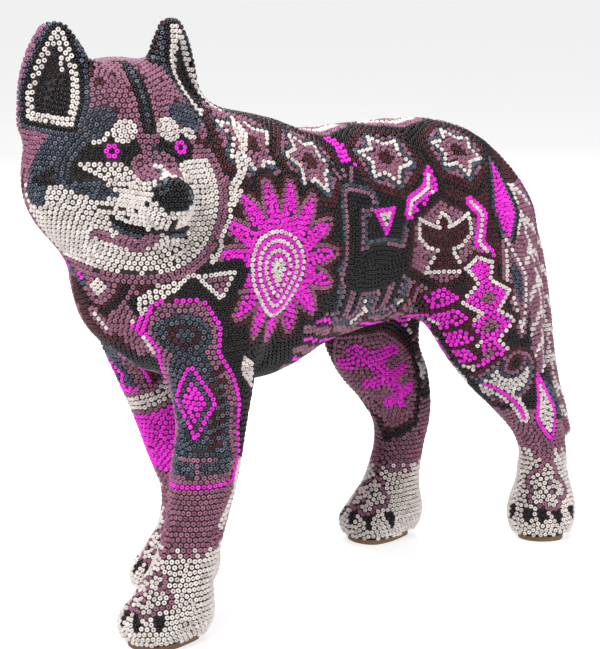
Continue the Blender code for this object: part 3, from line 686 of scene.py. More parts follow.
def arc(centre, radius, start, end, steps=12):
    """Corners along an arc; the angles are in degrees from the sheet's x axis."""
    return polar(radius, np.radians(np.linspace(start, end, steps)), centre)


def regular(sides, radius, centre=(0, 0), turn=90.0):
    return arc(centre, radius, turn, turn + 360.0 - 360.0 / sides, sides)


def egg(radius, tip, centre):
    """Round outline with a point at the bottom."""
    angles = np.radians(15.0 * np.arange(24))
    radii = radius + tip * np.maximum(0, -np.sin(angles)) ** 8
    return polar(radii, angles, centre)


def petals(count, radius, swing, centre):
    """Rosette of narrow petals."""
    angles = 2 * np.pi * np.arange(6 * count) / (6 * count)
    wave = np.cos(count * angles)
    radii = radius + swing * np.sign(wave) * np.abs(wave) ** 1.3
    return polar(radii, angles, centre)


def star(tips, outer, inner, centre, turn=90.0):
    angles = np.radians(turn + 180.0 / tips * np.arange(2 * tips))
    radii = np.where(np.arange(2 * tips) % 2 == 0, outer, inner)
    return polar(radii, angles, centre)


def diamond(width, height, centre=(0, 0)):
    x, y = centre
    return [(x, y + height / 2), (x + width / 2, y), (x, y - height / 2), (x - width / 2, y)]


def along(start, end, offsets):
    """Points given as (share of the way, distance to the left of it) from start to end."""
    start, end = np.array(start, float), np.array(end, float)
    side = unit((start[1] - end[1], end[0] - start[0]))
    return [start + share * (end - start) + left * side for share, left in offsets]


def leaf(start, end, width):
    """Slim kite from start to end."""
    return along(start, end, ((0, 0), (0.4, width / 2), (1, 0), (0.4, -width / 2)))


def toothed(start, end, width, teeth):
    """Leaf with saw teeth on both edges."""
    shares = (np.arange(2 * teeth) + 0.5) / (2 * teeth)
    body = np.sin(np.pi * (0.12 + 0.76 * shares))
    edge = width / 2 * body * np.where(np.arange(2 * teeth) % 2 == 0, 1.0, 0.3)
    left = [(share, reach) for share, reach in zip(shares, edge)]
    right = [(share, -reach) for share, reach in zip(shares[::-1], edge[::-1])]
    return along(start, end, [(0, 0)] + left + [(1, 0)] + right)


def wave_line(start, end, waves, swing):
    """Line that swings from side to side."""
    shares = np.linspace(0, 1, 4 * waves + 1)
    return along(start, end, [(t, swing * np.sin(2 * np.pi * waves * t)) for t in shares])


def shield(top, foot, half_widths):
    """Mirrored outline whose half widths are given at even steps from top to foot."""
    shares = np.linspace(0, 1, len(half_widths))
    left = [(share, -half) for share, half in zip(shares, half_widths)]
    right = [(share, half) for share, half in zip(shares, half_widths)]
    return along(top, foot, left + right[::-1])


def stroke(start, end, radius):
    """Rounded bar."""
    line = polyline(start, end)
    return lambda xy: line(xy) - radius


def oval(centre, half_width, half_height):
    least = min(half_width, half_height)
    scale = np.array([half_width, half_height])
    return lambda xy: (np.linalg.norm((xy - np.array(centre)) / scale, axis=1) - 1) * least


def union(*shapes):
    return lambda xy: np.min([shape(xy) for shape in shapes], 0)


def crescent(radius, centre, bite):
    """Disc with another one of the same size, moved by bite, taken out of it."""
    gone = disc(radius, (centre[0] + bite[0], centre[1] + bite[1]))
    full = disc(radius, centre)
    return lambda xy: np.maximum(full(xy), -gone(xy))


def bird(centre, size):
    """Plain spread bird: half an outline in eighths of its size, and its mirror image."""
    half = [(0, 8), (2, 6), (1.5, 4), (4, 5), (8, 7), (8, 2), (5, -1), (2, -2), (5, -8)]
    ring = half + [(-x, y) for x, y in half[:0:-1]]
    return [(centre[0] + x * size / 8, centre[1] + y * size / 8) for x, y in ring]


def standing_deer(x, y):
    """Plain deer: body, neck, head, a raised tail and four legs."""
    legs = [stroke((x + k, y), (x + k, y - 17), 2.5) for k in (-15, -8, 8, 15)]
    return union(oval((x, y), 20, 10), stroke((x - 14, y + 4), (x - 12, y + 25), 4.5),
                 stroke((x - 12, y + 29), (x - 4, y + 27), 3.5),
                 stroke((x + 16, y + 4), (x + 19, y + 14), 2.5), *legs)


# ---------------------------------------------------------------- motifs
EYE_SPOTS = ((21, -14, 7), (23, 12, 7))
BODY = ("left_flank", "right_flank", "neck_ruff", "back", "belly", "chest",
        "left_thigh", "right_thigh", "left_front_leg", "right_front_leg")
HIND = BODY + ("left_hind_leg", "right_hind_leg", "left_hind_shank", "right_hind_shank")
JAW = ("cheeks_and_muzzle", "neck_ruff", "chest", "left_flank")
FACE = ("forehead", "cheeks_and_muzzle", "head_back", "left_eye", "right_eye")
EARS = ("left_ear", "right_ear", "forehead", "head_back")
FLANK_SHEET = ((36, -30, 140), (1, 0, 0))
BACK_SHEET = ((24, 0, 175), (0.8, 0, 0.6))
THIGH_SHEET = ((34, 50, 125), (1, 0.15, 0))
SUN = (-24, 1)
DEER = (30, -9)
STARS = ((-57, 7, 80), (-29, 0, 110), (13, 0, 100), (53, 0, 95))
BIRD = (-14, 13)


def both_sides(sheet, shift=(0, 0, 0), **facts):
    """The same sheet on one side and, mirrored and moved by shift, on the other."""
    return [Place(*sheet, **facts), Place(*sheet, flip="body", shift=shift, **facts)]


def flank_motifs():
    """Sun, deer and the white tips of the ruff on both flanks."""
    out = []
    for sheet in both_sides(FLANK_SHEET, reach=75):
        head = (DEER[0] - 12, DEER[1] + 32)
        for lean in (-5, 0, 5):
            tine = polyline(head, (head[0] + lean, head[1] + 8))
            out.append(Motif(sheet, tine, ("mauve", "black"), only=BODY))
        out += [
            Motif(sheet, standing_deer(*DEER), ("mauve", "slate"), ("black",), BODY),
            Motif(sheet, polygon(*regular(3, 6, (35, 11), -90)), ("magenta",), ("white",), BODY),
            Motif(sheet, polygon(*petals(15, 21, 8, SUN)),
                  ("magenta", "mauve", "maroon", "black"), ("magenta",), BODY),
            Motif(sheet, polygon(*egg(13.5, 5, (SUN[0] - 2, SUN[1] - 2))), ("white",),
                  ("magenta", "white", "magenta", "white", "magenta", "white"), BODY),
        ]
        for k in range(5):
            start = np.array((-27 - 6 * k, 53 - 9.5 * k))
            bar = leaf(start, start + (-5, -11), 4.5)
            out.append(Motif(sheet, polygon(*bar), ("white",), ("white",), BODY))
    return out


def back_motifs():
    """Six-pointed stars in hexagons on both sides of the back, diamonds between them on top."""
    out = []
    for sheet in both_sides(BACK_SHEET, bend_y=28, reach=90):
        for x, y, turn in STARS:
            out.append(Motif(sheet, polygon(*regular(6, 19, (x, y), turn)),
                             ("maroon", "black"), ("maroon", "mauve"), BODY))
            out.append(Motif(sheet, polygon(*star(6, 13, 7.5, (x, y), turn)),
                             ("white", "slate"), ("mauve", "mauve", "maroon"), BODY))
        out += [
            Motif(sheet, polyline(*wave_line((-9, 13), (-6, -2), 1, 2)), ("magenta", "magenta"),
                  only=BODY),
            Motif(sheet, polyline(*arc((20, -13), 13, -80, 20)), ("white", "magenta"), only=BODY),
        ]
    for y in (-52, -9, 33, 72):
        sheet = Place((0, y, 186), (0, 0, 1), (0, 1, 0), bend_x=24, reach=30)
        out.append(Motif(sheet, polygon(*diamond(10, 26)), ("white", "white", "mauve", "mauve"),
                         ("mauve",), BODY))
    return out


def belly_motifs():
    """Small stars under the belly."""
    out = []
    for sheet in both_sides(((24, 16, 110), (0.6, 0, -0.8)), reach=40):
        for k in (-1, 0, 1):
            out.append(Motif(sheet, polygon(*star(5, 6.5, 3.2, (20 * k, 2), 60)),
                             ("white", "slate", "mauve", "mauve", "maroon"), ("mauve",), BODY))
    return out


def thigh_motifs():
    """Bird in a hexagon, leaves, toothed leaf, crescent and diamonds on both thighs."""
    shapes = [
        (polygon(*regular(6, 18, BIRD)), ("maroon", "black"), ("mauve", "mauve")),
        (polygon(*bird(BIRD, 12)), ("white",), ("maroon",)),
        (polygon(*leaf((16, 11), (23, 41), 11)), ("magenta", "slate", "black"), ("magenta",)),
        (polygon(*leaf((15, 12), (20, -27), 12)), ("white", "mauve"), ("mauve", "slate")),
        (polyline(*wave_line((1, 28), (5, 7), 1, 3)), ("white", "magenta"), ()),
        (polygon(*toothed((-1, 6), (7, -45), 23, 4)), ("white", "maroon"),
         ("magenta", "magenta", "mauve")),
        (crescent(8, (19, -47), (0, 7)), ("white", "slate", "mauve", "maroon"), ("white",)),
        (polyline(*wave_line((-17, 40), (-31, 26), 1, 2)), ("white", "magenta"), ()),
    ]
    for k in range(4):
        shapes.append((polygon(*diamond(8, 8, (-14 + 4 * k, -10 - 9 * k))),
                       ("magenta", "maroon"), ("magenta",)))
    out = []
    for sheet in both_sides(THIGH_SHEET, reach=75):
        out += [Motif(sheet, *facts, HIND) for facts in shapes]
    hocks = both_sides(((34, 98, 65), (0.8, 0.6, 0)), (0, 42, 0), bend_x=13, reach=40)
    for hock in hocks:
        out += [
            Motif(hock, polygon(*leaf((13, -12), (-9, 9), 9)), ("slate", "black"), ("slate",),
                  HIND),
            Motif(hock, polygon(*leaf((1, -19), (-13, 13), 10)), ("magenta",), ("white",), HIND),
            Motif(hock, polyline((-25, 10), (-16, -8)), ("magenta", "white"), only=HIND),
        ]
    return out


def foreleg_motifs():
    """Shield with a ringed disc and a diamond on each foreleg's outer side."""
    out = []
    legs = ("left_front_leg", "right_front_leg", "left_front_shank", "right_front_shank",
            "chest", "neck_ruff", "belly")
    sheets = both_sides(((30, -92, 92), (0.5, -0.87, 0)), (0, -16, 0), bend_x=13.5, reach=55)
    for sheet in sheets:
        out += [
            Motif(sheet, polygon(*shield((0, 39), (3, -32), (5, 10, 9, 14, 17, 17, 19, 16))),
                  ("magenta",), ("mauve", "mauve", "slate"), legs),
            Motif(sheet, disc(7, (0, 26)), ("slate",), ("slate", "maroon", "slate"), legs),
        ]
        for k in range(8):
            line = polyline((8, 11 - 4 * k), (12, 13 - 4 * k))
            out.append(Motif(sheet, line, ("maroon",), only=legs))
        out += [
            Motif(sheet, polyline((-6, -22), (10, -22)), ("mauve",), only=legs),
            Motif(sheet, polyline((2, -22), (2, -29)), ("mauve",), only=legs),
            Motif(sheet, polygon(*diamond(16, 29, (1, 0))), ("magenta",),
                  ("slate", "magenta", "magenta"), legs),
            Motif(sheet, polygon(*leaf((19, 16), (25, 4), 5)), ("white",), ("white",), legs),
            Motif(sheet, polyline(*arc((-4, -26), 28, 0, -50)), ("white", "white"), only=legs),
        ]
    inner = Place((-12, -66, 80), (0.5, -0.87, 0), bend_x=14, reach=50)
    right_leg = ("right_front_leg", "right_front_shank")
    out += [
        Motif(inner, polygon(*shield((-4, 6), (-8, -28), (8, 16, 15, 11))), ("magenta",),
              ("magenta",), right_leg),
        Motif(inner, polyline(*arc((-18, 20), 22, -90, -10)), ("white", "white", "mauve"),
              only=right_leg),
    ]
    return out


def hind_panel_motifs():
    """Shield with a plain lizard on the inner side of each hind leg."""
    out = []
    right_leg = ("right_hind_leg", "right_hind_shank", "belly", "right_thigh")
    sheets = both_sides(((-12, 45, 74), (0.5, -0.87, 0)), (0, 22, 0), bend_x=18, reach=45)
    for only, sheet in zip((right_leg, ("left_hind_leg",)), sheets):
        out += [
            Motif(sheet, polygon(*shield((-4, 19), (6, -23), (5, 13, 16, 12))),
                  ("mauve", "maroon", "black", "black"), ("mauve",), only),
            Motif(sheet, polyline((-5, 13), (9, -13)), ("magenta", "magenta"), only=only),
        ]
        for share in (0.15, 0.5, 0.85):
            limbs = along((-5, 13), (9, -13), ((share, 7), (share, -7)))
            out.append(Motif(sheet, polyline(*limbs), ("magenta", "magenta"), only=only))
    return out


def chest_motifs():
    """Ringed diamond, triangle, white bars and small marks on the chest."""
    sheet = Place((4, -112, 136), (0.35, -0.94, 0), bend_x=32, reach=60)
    chest = ("chest", "neck_ruff", "left_front_leg", "right_front_leg", "left_flank")
    out = [
        Motif(sheet, polygon(*diamond(5, 5, (1, -1))),
              ("white", "mauve", "mauve", "maroon", "black"), ("white",), chest),
        Motif(sheet, polygon(*regular(3, 6, (37, 1), -85)), ("white", "black", "black"),
              ("mauve", "slate"), chest),
        Motif(sheet, polyline((-2, -11), (2, -17)), ("white", "mauve"), only=chest),
        Motif(sheet, polyline((12, -13), (19, -26)), ("white",), only=chest),
    ]
    for x, y in ((-20, 8), (-11, 5), (-3, -28)):
        out.append(Motif(sheet, polyline((x, y), (x + 5, y - 4)), ("magenta", "slate"),
                         only=chest))
    for k in range(4):
        bar = leaf((33 - 5 * k, 13 - 5 * k), (30 - 5 * k, 4 - 5 * k), 4)
        out.append(Motif(sheet, polygon(*bar), ("white",), ("white",), chest))
    return out


MASK = (6, -12)                          # centre of the band that runs over the eye
EYE = (5, 6)
MOUTH = (18, 2)


def half_face(side, front):
    """Bands round one eye, cheek patch, whiskers, mouth and brows."""
    shapes = [
        (side, polyline(*arc(MASK, 31, 98, 176)), ("slate", "slate", "slate")),
        (side, polygon(*leaf((16, 6), (-25, -5), 14)), ("black",), ("black",)),
        (side, oval(EYE, 9, 7), ("black",), ("black",)),
        (front, polyline(*arc((9, -3), 20, 0, 62)), ("slate", "slate")),
        (side, polygon(*leaf((8, -8), (-12, -6), 5)), ("slate",), ("slate",)),
        (side, polygon(*leaf((17, -3), (-7, 2), 7)), ("white",), ("white",)),
        (side, polyline(*arc(MOUTH, 23, 232, 285), (31, -21)), ("black",)),
        (side, polyline(*arc(MOUTH, 25, 240, 280)), ("slate",)),
        (front, polygon(*leaf((-8, -2), (-1, 8), 6)), ("mauve",), ("mauve",)),
        (side, disc(3.5, (9, 14)), ("white",), ("white",)),
        (side, polygon(*leaf((4, 13), (-3, 10), 3)), ("white",), ("white",)),
    ]
    shapes += [(side, disc(0, (11 + 5 * k, -16 + 3 * k)), ("black",)) for k in range(3)]
    return [Motif(*facts, only=FACE) for facts in shapes]


def face_motifs():
    """Pale muzzle and cheeks, then both halves of the face, ears, eyes and forehead stripe."""
    front = Place(on_head(30, 0, 0), FORWARD, reach=75)
    cheeks = oval((-7, -8), 31, 29)
    out = [Motif(front, lambda xy: np.maximum(cheeks(xy), xy[:, 1] - 2),
                 ("white", "mauve", "mauve"), ("white",), JAW)]
    for flip, nudge in ((None, (0, 0, 0)), ("head", -1.8 * LEFT)):
        side = Place(on_head(18, -18, 0), 0.72 * FORWARD - 0.69 * LEFT, reach=60, flip=flip,
                     shift=nudge)
        out += half_face(side, Place(on_head(30, 0, 0), FORWARD, reach=60, flip=flip))
        out += ear_motifs(flip)
    for spot in EYE_SPOTS:
        iris = Place(on_head(*spot), on_head(*spot) - on_head(0, 0.4 * spot[1], 4), reach=8)
        out.append(Motif(iris, disc(PITCH), ("magenta",), ("black",), FACE))
    out += [
        Motif(front, polyline((0, 35), (0, 15)), ("slate", "black"), only=FACE),
        Motif(front, polyline((0, -14), (0, -22)), ("black",), only=FACE),
        Motif(front, polyline((-18, -24), (-16, -29), (-12, -25), (-8, -29), (-5, -24)),
              ("mauve", "mauve"), only=FACE),
    ]
    out += [Motif(front, disc(0, (1 - k, 9 - 4 * k)), ("slate",), only=FACE) for k in range(3)]
    return out


def ear_motifs(flip):
    """Black hollow with a double white outline and a white line from the tip."""
    base, tip, facing, _, length = ear_points(-1)
    sheet = Place(base + 0.33 * (tip - base), facing, length, reach=34, flip=flip)
    hollow = shield((3, 17), (-1, -15), (1, 5, 8, 10, 9))
    return [
        Motif(sheet, polygon(*hollow), ("white", "black", "slate"), ("white", "black"), EARS),
        Motif(sheet, polyline((3, 13), (3, 2)), ("white",), only=EARS),
    ]


# first and last claw, degrees round from straight ahead, and how many there are
CLAWS = {
    "left_front": (-75, 75, 4), "right_front": (-75, 75, 4),
    "right_hind": (-50, 100, 4), "left_hind": (-80, 85, 5),
}


def paw_motifs():
    """Black pointed claws and a flower outline on every paw."""
    out = []
    claw = polygon((-1.2, 2.0), (1.2, 2.0), (0.9, 0), (0, -2.6), (-0.9, 0))
    flower = union(disc(3), *[disc(3.7, spot) for spot in regular(5, 5.2, turn=10)])
    for paw in PAWS:
        ankle, toes, side = paw_frame(paw)
        only = (paw + "_paw",)
        cap = ankle + PAWS[paw][3] * toes
        for angle in np.radians(np.linspace(*CLAWS[paw])):
            facing = np.cos(angle) * toes + np.sin(angle) * side
            sheet = Place(cap + 13.5 * facing + 12.0 * Z_AXIS, facing, reach=9)
            out.append(Motif(sheet, claw, ("black",), ("black",), only))
        sheet = Place(cap + 3 * toes + 2 * side + 22 * Z_AXIS, 0.75 * toes + 0.66 * Z_AXIS,
                      reach=16)
        out.append(Motif(sheet, flower, ("mauve",), ("white",), only))
    return out


def motif_list():
    return (belly_motifs() + back_motifs() + flank_motifs() + thigh_motifs() + hind_panel_motifs()
            + chest_motifs() + foreleg_motifs() + face_motifs() + paw_motifs())


# ---------------------------------------------------------------- ground colours
GROUND = {
    "nose": "black", "tail": "mauve", "left_eye": "black", "right_eye": "black",
    "left_ear": "black", "right_ear": "black", "forehead": "mauve",
    "cheeks_and_muzzle": "white", "head_back": "mauve", "chest": "black",
    "neck_ruff": "black", "belly": "black", "back": "black", "left_thigh": "maroon",
    "right_thigh": "maroon", "left_flank": "black", "right_flank": "black",
}
CHEVRON = 13.0                           # height of one herringbone row
REAR_RIB = 13                            # distance of the rear feather's rib from its border
TOOTH_ANGLE = 10.5                       # degrees of a paw taken by one tooth of its edge
TOOTH_STEP = 1.9


def saw(turns):
    """Triangle wave between 0 and 1."""
    return 2 * np.abs(turns - np.floor(turns + 0.5))


def chance(*cells):
    """Repeatable number between 0 and 1 for each cell."""
    mixed = np.sin(sum(cell * factor for cell, factor in zip(cells, (12.9898, 78.233, 37.719))))
    return np.abs(mixed * 43758.5453) % 1.0


def ruff_colours(points, normals, colours, regions):
    """Streaks of fur that run from the head over the neck and the chest."""
    offset = points - HEAD
    away = np.linalg.norm(offset, axis=1)
    axis = unit((0, 0.87, -0.5))
    across = unit((1, 0, 0))
    turn = np.degrees(np.arctan2(offset @ across, offset @ np.cross(axis, across)))
    front = np.clip((-normals[:, 1] - 0.5) / 0.4, 0, 1)
    streak = np.floor(turn / 5.5)
    edge = 44 + 0.3 * (172 - points[:, 2]) + 12 * front + 5 * saw(turn / 22) - 2
    mine = np.isin(regions, ("neck_ruff", "chest", "back", "left_flank", "right_flank",
                             "left_front_leg", "right_front_leg", "head_back")) & (away < edge)
    step = np.floor(away / 9 + 3 * chance(streak, 1.0 + 0 * streak))
    dice = chance(streak, step)
    colours[mine] = "mauve"
    colours[mine & (dice < 0.33)] = "maroon"
    colours[mine & (dice > 0.93)] = "black"
    return colours


def tail_colours(points, colours, regions):
    """White herringbone on the tail and the rear of the thighs, scalloped at the edges."""
    mine = regions == "tail"
    spine = np.array(TAIL, float)[::-1]
    z = points[:, 2]
    mid_x = np.interp(z, spine[:, 2], spine[:, 0])
    mid_y = np.interp(z, spine[:, 2], spine[:, 1])
    turn = np.degrees(np.arctan2(points[:, 1] - mid_y, np.abs(points[:, 0] - mid_x)))
    lean = np.abs(turn - 5)
    branch = ((z + 0.16 * lean) % CHEVRON < 3.8) & (lean < 42)
    colours[mine & branch & (z < 150)] = "white"
    colours[mine & (lean < 5) & (z < 140)] = "white"
    scallop = 58 + 14 * saw(z / 12)
    colours[mine & (turn > scallop)] = "slate"
    colours[mine & (turn > scallop + 14)] = "magenta"
    colours[mine & (turn < -50)] = "maroon"
    border = 66.5 + 0.17 * (150 - z)
    behind = points[:, 1] - border
    rear = np.isin(regions, ("left_thigh", "right_thigh", "left_hind_leg", "right_hind_leg"))
    rear &= (behind > 0) & (z < 158) & (z > 78)
    from_rib = np.abs(behind - REAR_RIB)
    feather = ((z + 0.8 * from_rib) % CHEVRON < 3.6) & (from_rib < 11)
    colours[rear] = "mauve"
    colours[rear & feather] = "white"
    colours[rear & (from_rib < 0.9)] = "white"
    colours[rear & (behind < 1.7)] = "black"
    colours[rear & (behind > 26)] = "slate"
    scalloped = behind > 29 + 3 * saw(z / 9)
    colours[rear & scalloped] = "mauve"
    colours[rear & scalloped & (behind < 34)] = "magenta"
    return colours


def belly_colours(points, colours, regions):
    """Narrow stripes that run along the belly and the lower flanks."""
    mine = (regions == "belly") | (np.isin(regions, ("left_flank", "right_flank"))
                                   & (points[:, 2] < 117))
    stripe = np.floor((points[:, 2] + 0.22 * points[:, 1]) / ROW).astype(int) % 5
    colours[mine] = "black"
    colours[mine & (stripe < 2)] = "mauve"
    colours[mine & (stripe == 3) & (points[:, 1] > -35)] = "magenta"
    return colours


def leg_colours(points, colours, regions):
    """Mauve shanks that run in small teeth into white paws; one foreleg is maroon."""
    for name in LEGS:
        ankle, toes, side = paw_frame(name)
        offset = points - ankle
        turn = np.degrees(np.arctan2(offset @ side, offset @ toes))
        tooth = np.floor(turn / TOOTH_ANGLE)
        teeth = TOOTH_STEP * np.floor(3.2 * chance(tooth, 7.0 + 0 * tooth))
        mine = np.isin(regions, (name + "_paw", name + "_shank"))
        low = points[:, 2] < PAW_TOP[name] + teeth
        colours[mine] = "mauve"
        colours[mine & low] = "white"
        leg = regions == name + "_leg"
        if name == "right_front":
            colours[leg] = "maroon"
        lower = leg & (points[:, 2] < SHANK_TOP[name] + (14 if name.endswith("hind") else 3))
        colours[lower] = "mauve"
    return colours


def head_colours(points, normals, colours, regions):
    """Specks on forehead and ears, slate specks on the nose as painted glints; a white rim on the
    nose, mauve sides of the ears.
    """
    cell = np.floor(points / 2.5)
    dice = chance(cell[:, 0], cell[:, 1], cell[:, 2])
    colours[(regions == "forehead") & (dice < 0.07)] = "maroon"
    # slate specks on the nose: painted glints on the black beads
    colours[(regions == "nose") & (dice < 0.22)] = "slate"
    offset = points - on_head(42, 0, -6.6)
    rim = (offset @ LEFT / 8.2) ** 2 + (offset @ Z_AXIS / 6.8) ** 2 > 1
    colours[(regions == "nose") & rim] = "white"
    for name, sign in (("left_ear", 1), ("right_ear", -1)):
        facing = ear_points(sign)[2]
        ear = regions == name
        colours[ear & (dice < 0.35)] = "maroon"
        colours[ear & (dice > 0.8)] = "slate"
        outer = (normals @ LEFT) * sign > 0.55
        colours[ear & outer & (normals @ facing > -0.5)] = "mauve"
    return colours


def base_colours(points, normals, regions):
    """Colour of every bead before the motifs are laid over it."""
    colours = np.array([GROUND.get(name, "black") for name in regions], dtype=object)
    colours = ruff_colours(points, normals, colours, regions)
    colours = belly_colours(points, colours, regions)
    colours = tail_colours(points, colours, regions)
    colours = leg_colours(points, colours, regions)
    return head_colours(points, normals, colours, regions)


def painted(points, normals, regions, motifs):
    colours = base_colours(points, normals, regions)
    for motif in motifs:
        chosen, far = motif.covered(points, normals, regions)
        colours[chosen] = motif.colours(far)
    return colours


# ---------------------------------------------------------------- bead meshes
def bead_profile():
    """Distance from the hole's axis and height under the bead's top, once round the glass."""
    return np.array([
        (HOLE_RADIUS, -0.30), (0.70 * BEAD_RADIUS, 0.0), (BEAD_RADIUS, -0.62),
        (0.80 * BEAD_RADIUS, -BEAD_HEIGHT), (HOLE_RADIUS, -0.9 * BEAD_HEIGHT),
    ])


def bead_template(segments=8):
    profile = bead_profile()
    rings = len(profile)
    angles = 2 * np.pi * np.arange(segments) / segments
    verts = np.array([(r * np.cos(a), r * np.sin(a), h) for a in angles for r, h in profile])
    faces = []
    for s in range(segments):
        here, after = s * rings, (s + 1) % segments * rings
        for k in range(rings):
            step = (k + 1) % rings
            faces.append((here + k, after + k, after + step, here + step))
    return verts, np.array(faces)[:, ::-1]


def bead_frames(normals, rng):
    """A slightly tilted and turned frame for each bead."""
    axis = normals + rng.normal(0, BEAD_TILT, normals.shape)
    axis /= np.linalg.norm(axis, axis=1)[:, None]
    helper = np.where(np.abs(axis[:, 2:]) < 0.9, Z_AXIS, X_AXIS)
    side = np.cross(helper, axis)
    side /= np.linalg.norm(side, axis=1)[:, None]
    spin = rng.uniform(0, 2 * np.pi, len(axis))[:, None]
    first = np.cos(spin) * side + np.sin(spin) * np.cross(axis, side)
    return first, np.cross(axis, first), axis


def bead_mesh(name, beads, colours, tones, sizes, frames, materials):
    """One mesh with all beads of one field; faces carry their colour's material."""
    template, quads = bead_template()
    first, second, axis = frames
    shape = template[None] * np.stack([sizes, sizes, np.ones(len(sizes))], 1)[:, None]
    verts = (beads[:, None] + shape[..., 0:1] * first[:, None] + shape[..., 1:2] * second[:, None]
             + shape[..., 2:3] * axis[:, None]).reshape(-1, 3)
    faces = (quads[None] + len(template) * np.arange(len(beads))[:, None, None]).reshape(-1, 4)
    mesh = bpy.data.meshes.new(name)
    mesh.vertices.add(len(verts))
    mesh.vertices.foreach_set("co", ((verts - ORIGIN) * MM).ravel())
    mesh.loops.add(4 * len(faces))
    mesh.loops.foreach_set("vertex_index", faces.ravel().astype(np.int32))
    mesh.polygons.add(len(faces))
    mesh.polygons.foreach_set("loop_start", np.arange(0, 4 * len(faces), 4, dtype=np.int32))
    mesh.update(calc_edges=True)
    used = sorted(set(colours))
    for colour in used:
        mesh.materials.append(materials[colour])
    index = np.array([used.index(colour) for colour in colours], dtype=np.int32)
    mesh.polygons.foreach_set("material_index", np.repeat(index, len(quads)))
    mesh.shade_smooth()
    tone = mesh.attributes.new("tone", "FLOAT", "POINT")
    tone.data.foreach_set("value", np.repeat(tones, len(template)).astype(np.float32))
    add_bead_cells(mesh, len(beads), 4 * len(quads))
    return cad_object(name, mesh)


def add_bead_cells(mesh, count, loops_each):
    """Flat map with one small square for each bead."""
    side = int(np.ceil(np.sqrt(count)))
    column, row = np.arange(count) % side, np.arange(count) // side
    corner = np.array([(0.3, 0.3), (0.7, 0.3), (0.7, 0.7), (0.3, 0.7)]) / side
    cell = np.stack([column, row], 1) / side
    uv = (cell[:, None, None] + corner[None, None]).repeat(loops_each // 4, axis=1)
    layer = mesh.uv_layers.new(name="OFBake")
    layer.data.foreach_set("uv", uv.reshape(-1).astype(np.float32))


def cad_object(name, mesh):
    piece = bpy.data.objects.new(name, mesh)
    bpy.context.scene.collection.objects.link(piece)
    return piece


# ---------------------------------------------------------------- materials
BEAD_TONES = {
    "white": ((0.50, 0.43, 0.41), (0.65, 0.59, 0.56), (0.77, 0.72, 0.69)),
    "mauve": ((0.17, 0.060, 0.105), (0.25, 0.095, 0.155), (0.33, 0.14, 0.21)),
    "maroon": ((0.025, 0.003, 0.005), (0.050, 0.007, 0.011), (0.085, 0.015, 0.022)),
    "black": ((0.003, 0.002, 0.004), (0.006, 0.005, 0.007), (0.012, 0.009, 0.012)),
    "slate": ((0.020, 0.026, 0.040), (0.050, 0.062, 0.090), (0.11, 0.13, 0.17)),
    "magenta": ((0.58, 0.010, 0.44), (0.76, 0.016, 0.60), (0.88, 0.035, 0.74)),
}
BEAD_ROUGHNESS = {"white": 0.30, "mauve": 0.28, "maroon": 0.2, "black": 0.18, "slate": 0.22,
                  "magenta": 0.28}
BEAD_METAL = {"slate": 0.35}
GLASS_IOR = 1.52
BEAD_GLOSS = {"white": 0.5, "mauve": 0.4, "maroon": 0.3, "black": 0.3, "slate": 0.5,
              "magenta": 0.35}


def new_material(name):
    material = bpy.data.materials.new(name)
    material.use_nodes = True
    nodes = material.node_tree.nodes
    return material, nodes, material.node_tree.links, nodes["Principled BSDF"]


def set_inputs(node, values):
    for name, value in values.items():
        node.inputs[name].default_value = value


def ramp_node(nodes, colours):
    ramp = nodes.new("ShaderNodeValToRGB")
    ramp.color_ramp.elements[0].color = (*colours[0], 1)
    ramp.color_ramp.elements[1].color = (*colours[-1], 1)
    for k, colour in enumerate(colours[1:-1]):
        stop = ramp.color_ramp.elements.new((k + 1) / (len(colours) - 1))
        stop.color = (*colour, 1)
    return ramp


def bead_material(colour):
    """Glass bead: its shade differs a little from bead to bead."""
    material, nodes, links, shader = new_material(colour + "_beads_look")
    tone = nodes.new("ShaderNodeAttribute")
    tone.attribute_name = "tone"
    ramp = ramp_node(nodes, BEAD_TONES[colour])
    links.new(tone.outputs["Fac"], ramp.inputs["Fac"])
    links.new(ramp.outputs["Color"], shader.inputs["Base Color"])
    set_inputs(shader, {"Roughness": BEAD_ROUGHNESS[colour], "IOR": GLASS_IOR,
                        "Metallic": BEAD_METAL.get(colour, 0.0),
                        "Specular IOR Level": BEAD_GLOSS[colour]})
    return material


def grain_material(name, dark, light, scale, roughness, stretch=(1, 1, 1)):
    """Mottled or streaked material for wax and wood."""
    material, nodes, links, shader = new_material(name)
    place = nodes.new("ShaderNodeTexCoord")
    mapping = nodes.new("ShaderNodeMapping")
    mapping.inputs["Scale"].default_value = stretch
    noise = nodes.new("ShaderNodeTexNoise")
    set_inputs(noise, {"Scale": scale, "Detail": 6})
    ramp = ramp_node(nodes, (dark, light))
    bump = nodes.new("ShaderNodeBump")
    set_inputs(bump, {"Strength": 0.25, "Distance": 0.0004})
    links.new(place.outputs["Object"], mapping.inputs["Vector"])
    links.new(mapping.outputs["Vector"], noise.inputs["Vector"])
    links.new(noise.outputs["Fac"], ramp.inputs["Fac"])
    links.new(noise.outputs["Fac"], bump.inputs["Height"])
    links.new(ramp.outputs["Color"], shader.inputs["Base Color"])
    links.new(bump.outputs["Normal"], shader.inputs["Normal"])
    shader.inputs["Roughness"].default_value = roughness
    return material


# ---------------------------------------------------------------- building
def set_eyes(points):
    """Six beads round one bead for each eye."""
    for spot in EYE_SPOTS:
        centre = on_head(*spot)
        facing = slope(figure_field, centre[None])[0]
        side = unit(np.cross(facing, Z_AXIS))
        over = np.cross(facing, side)
        ring = [centre + PITCH * (np.cos(a) * side + np.sin(a) * over)
                for a in np.radians(60.0 * np.arange(6))]
        points = points[np.linalg.norm(points - centre, axis=1) > EYE_GAP * PITCH]
        points = np.vstack([points, [centre], ring])
    return points


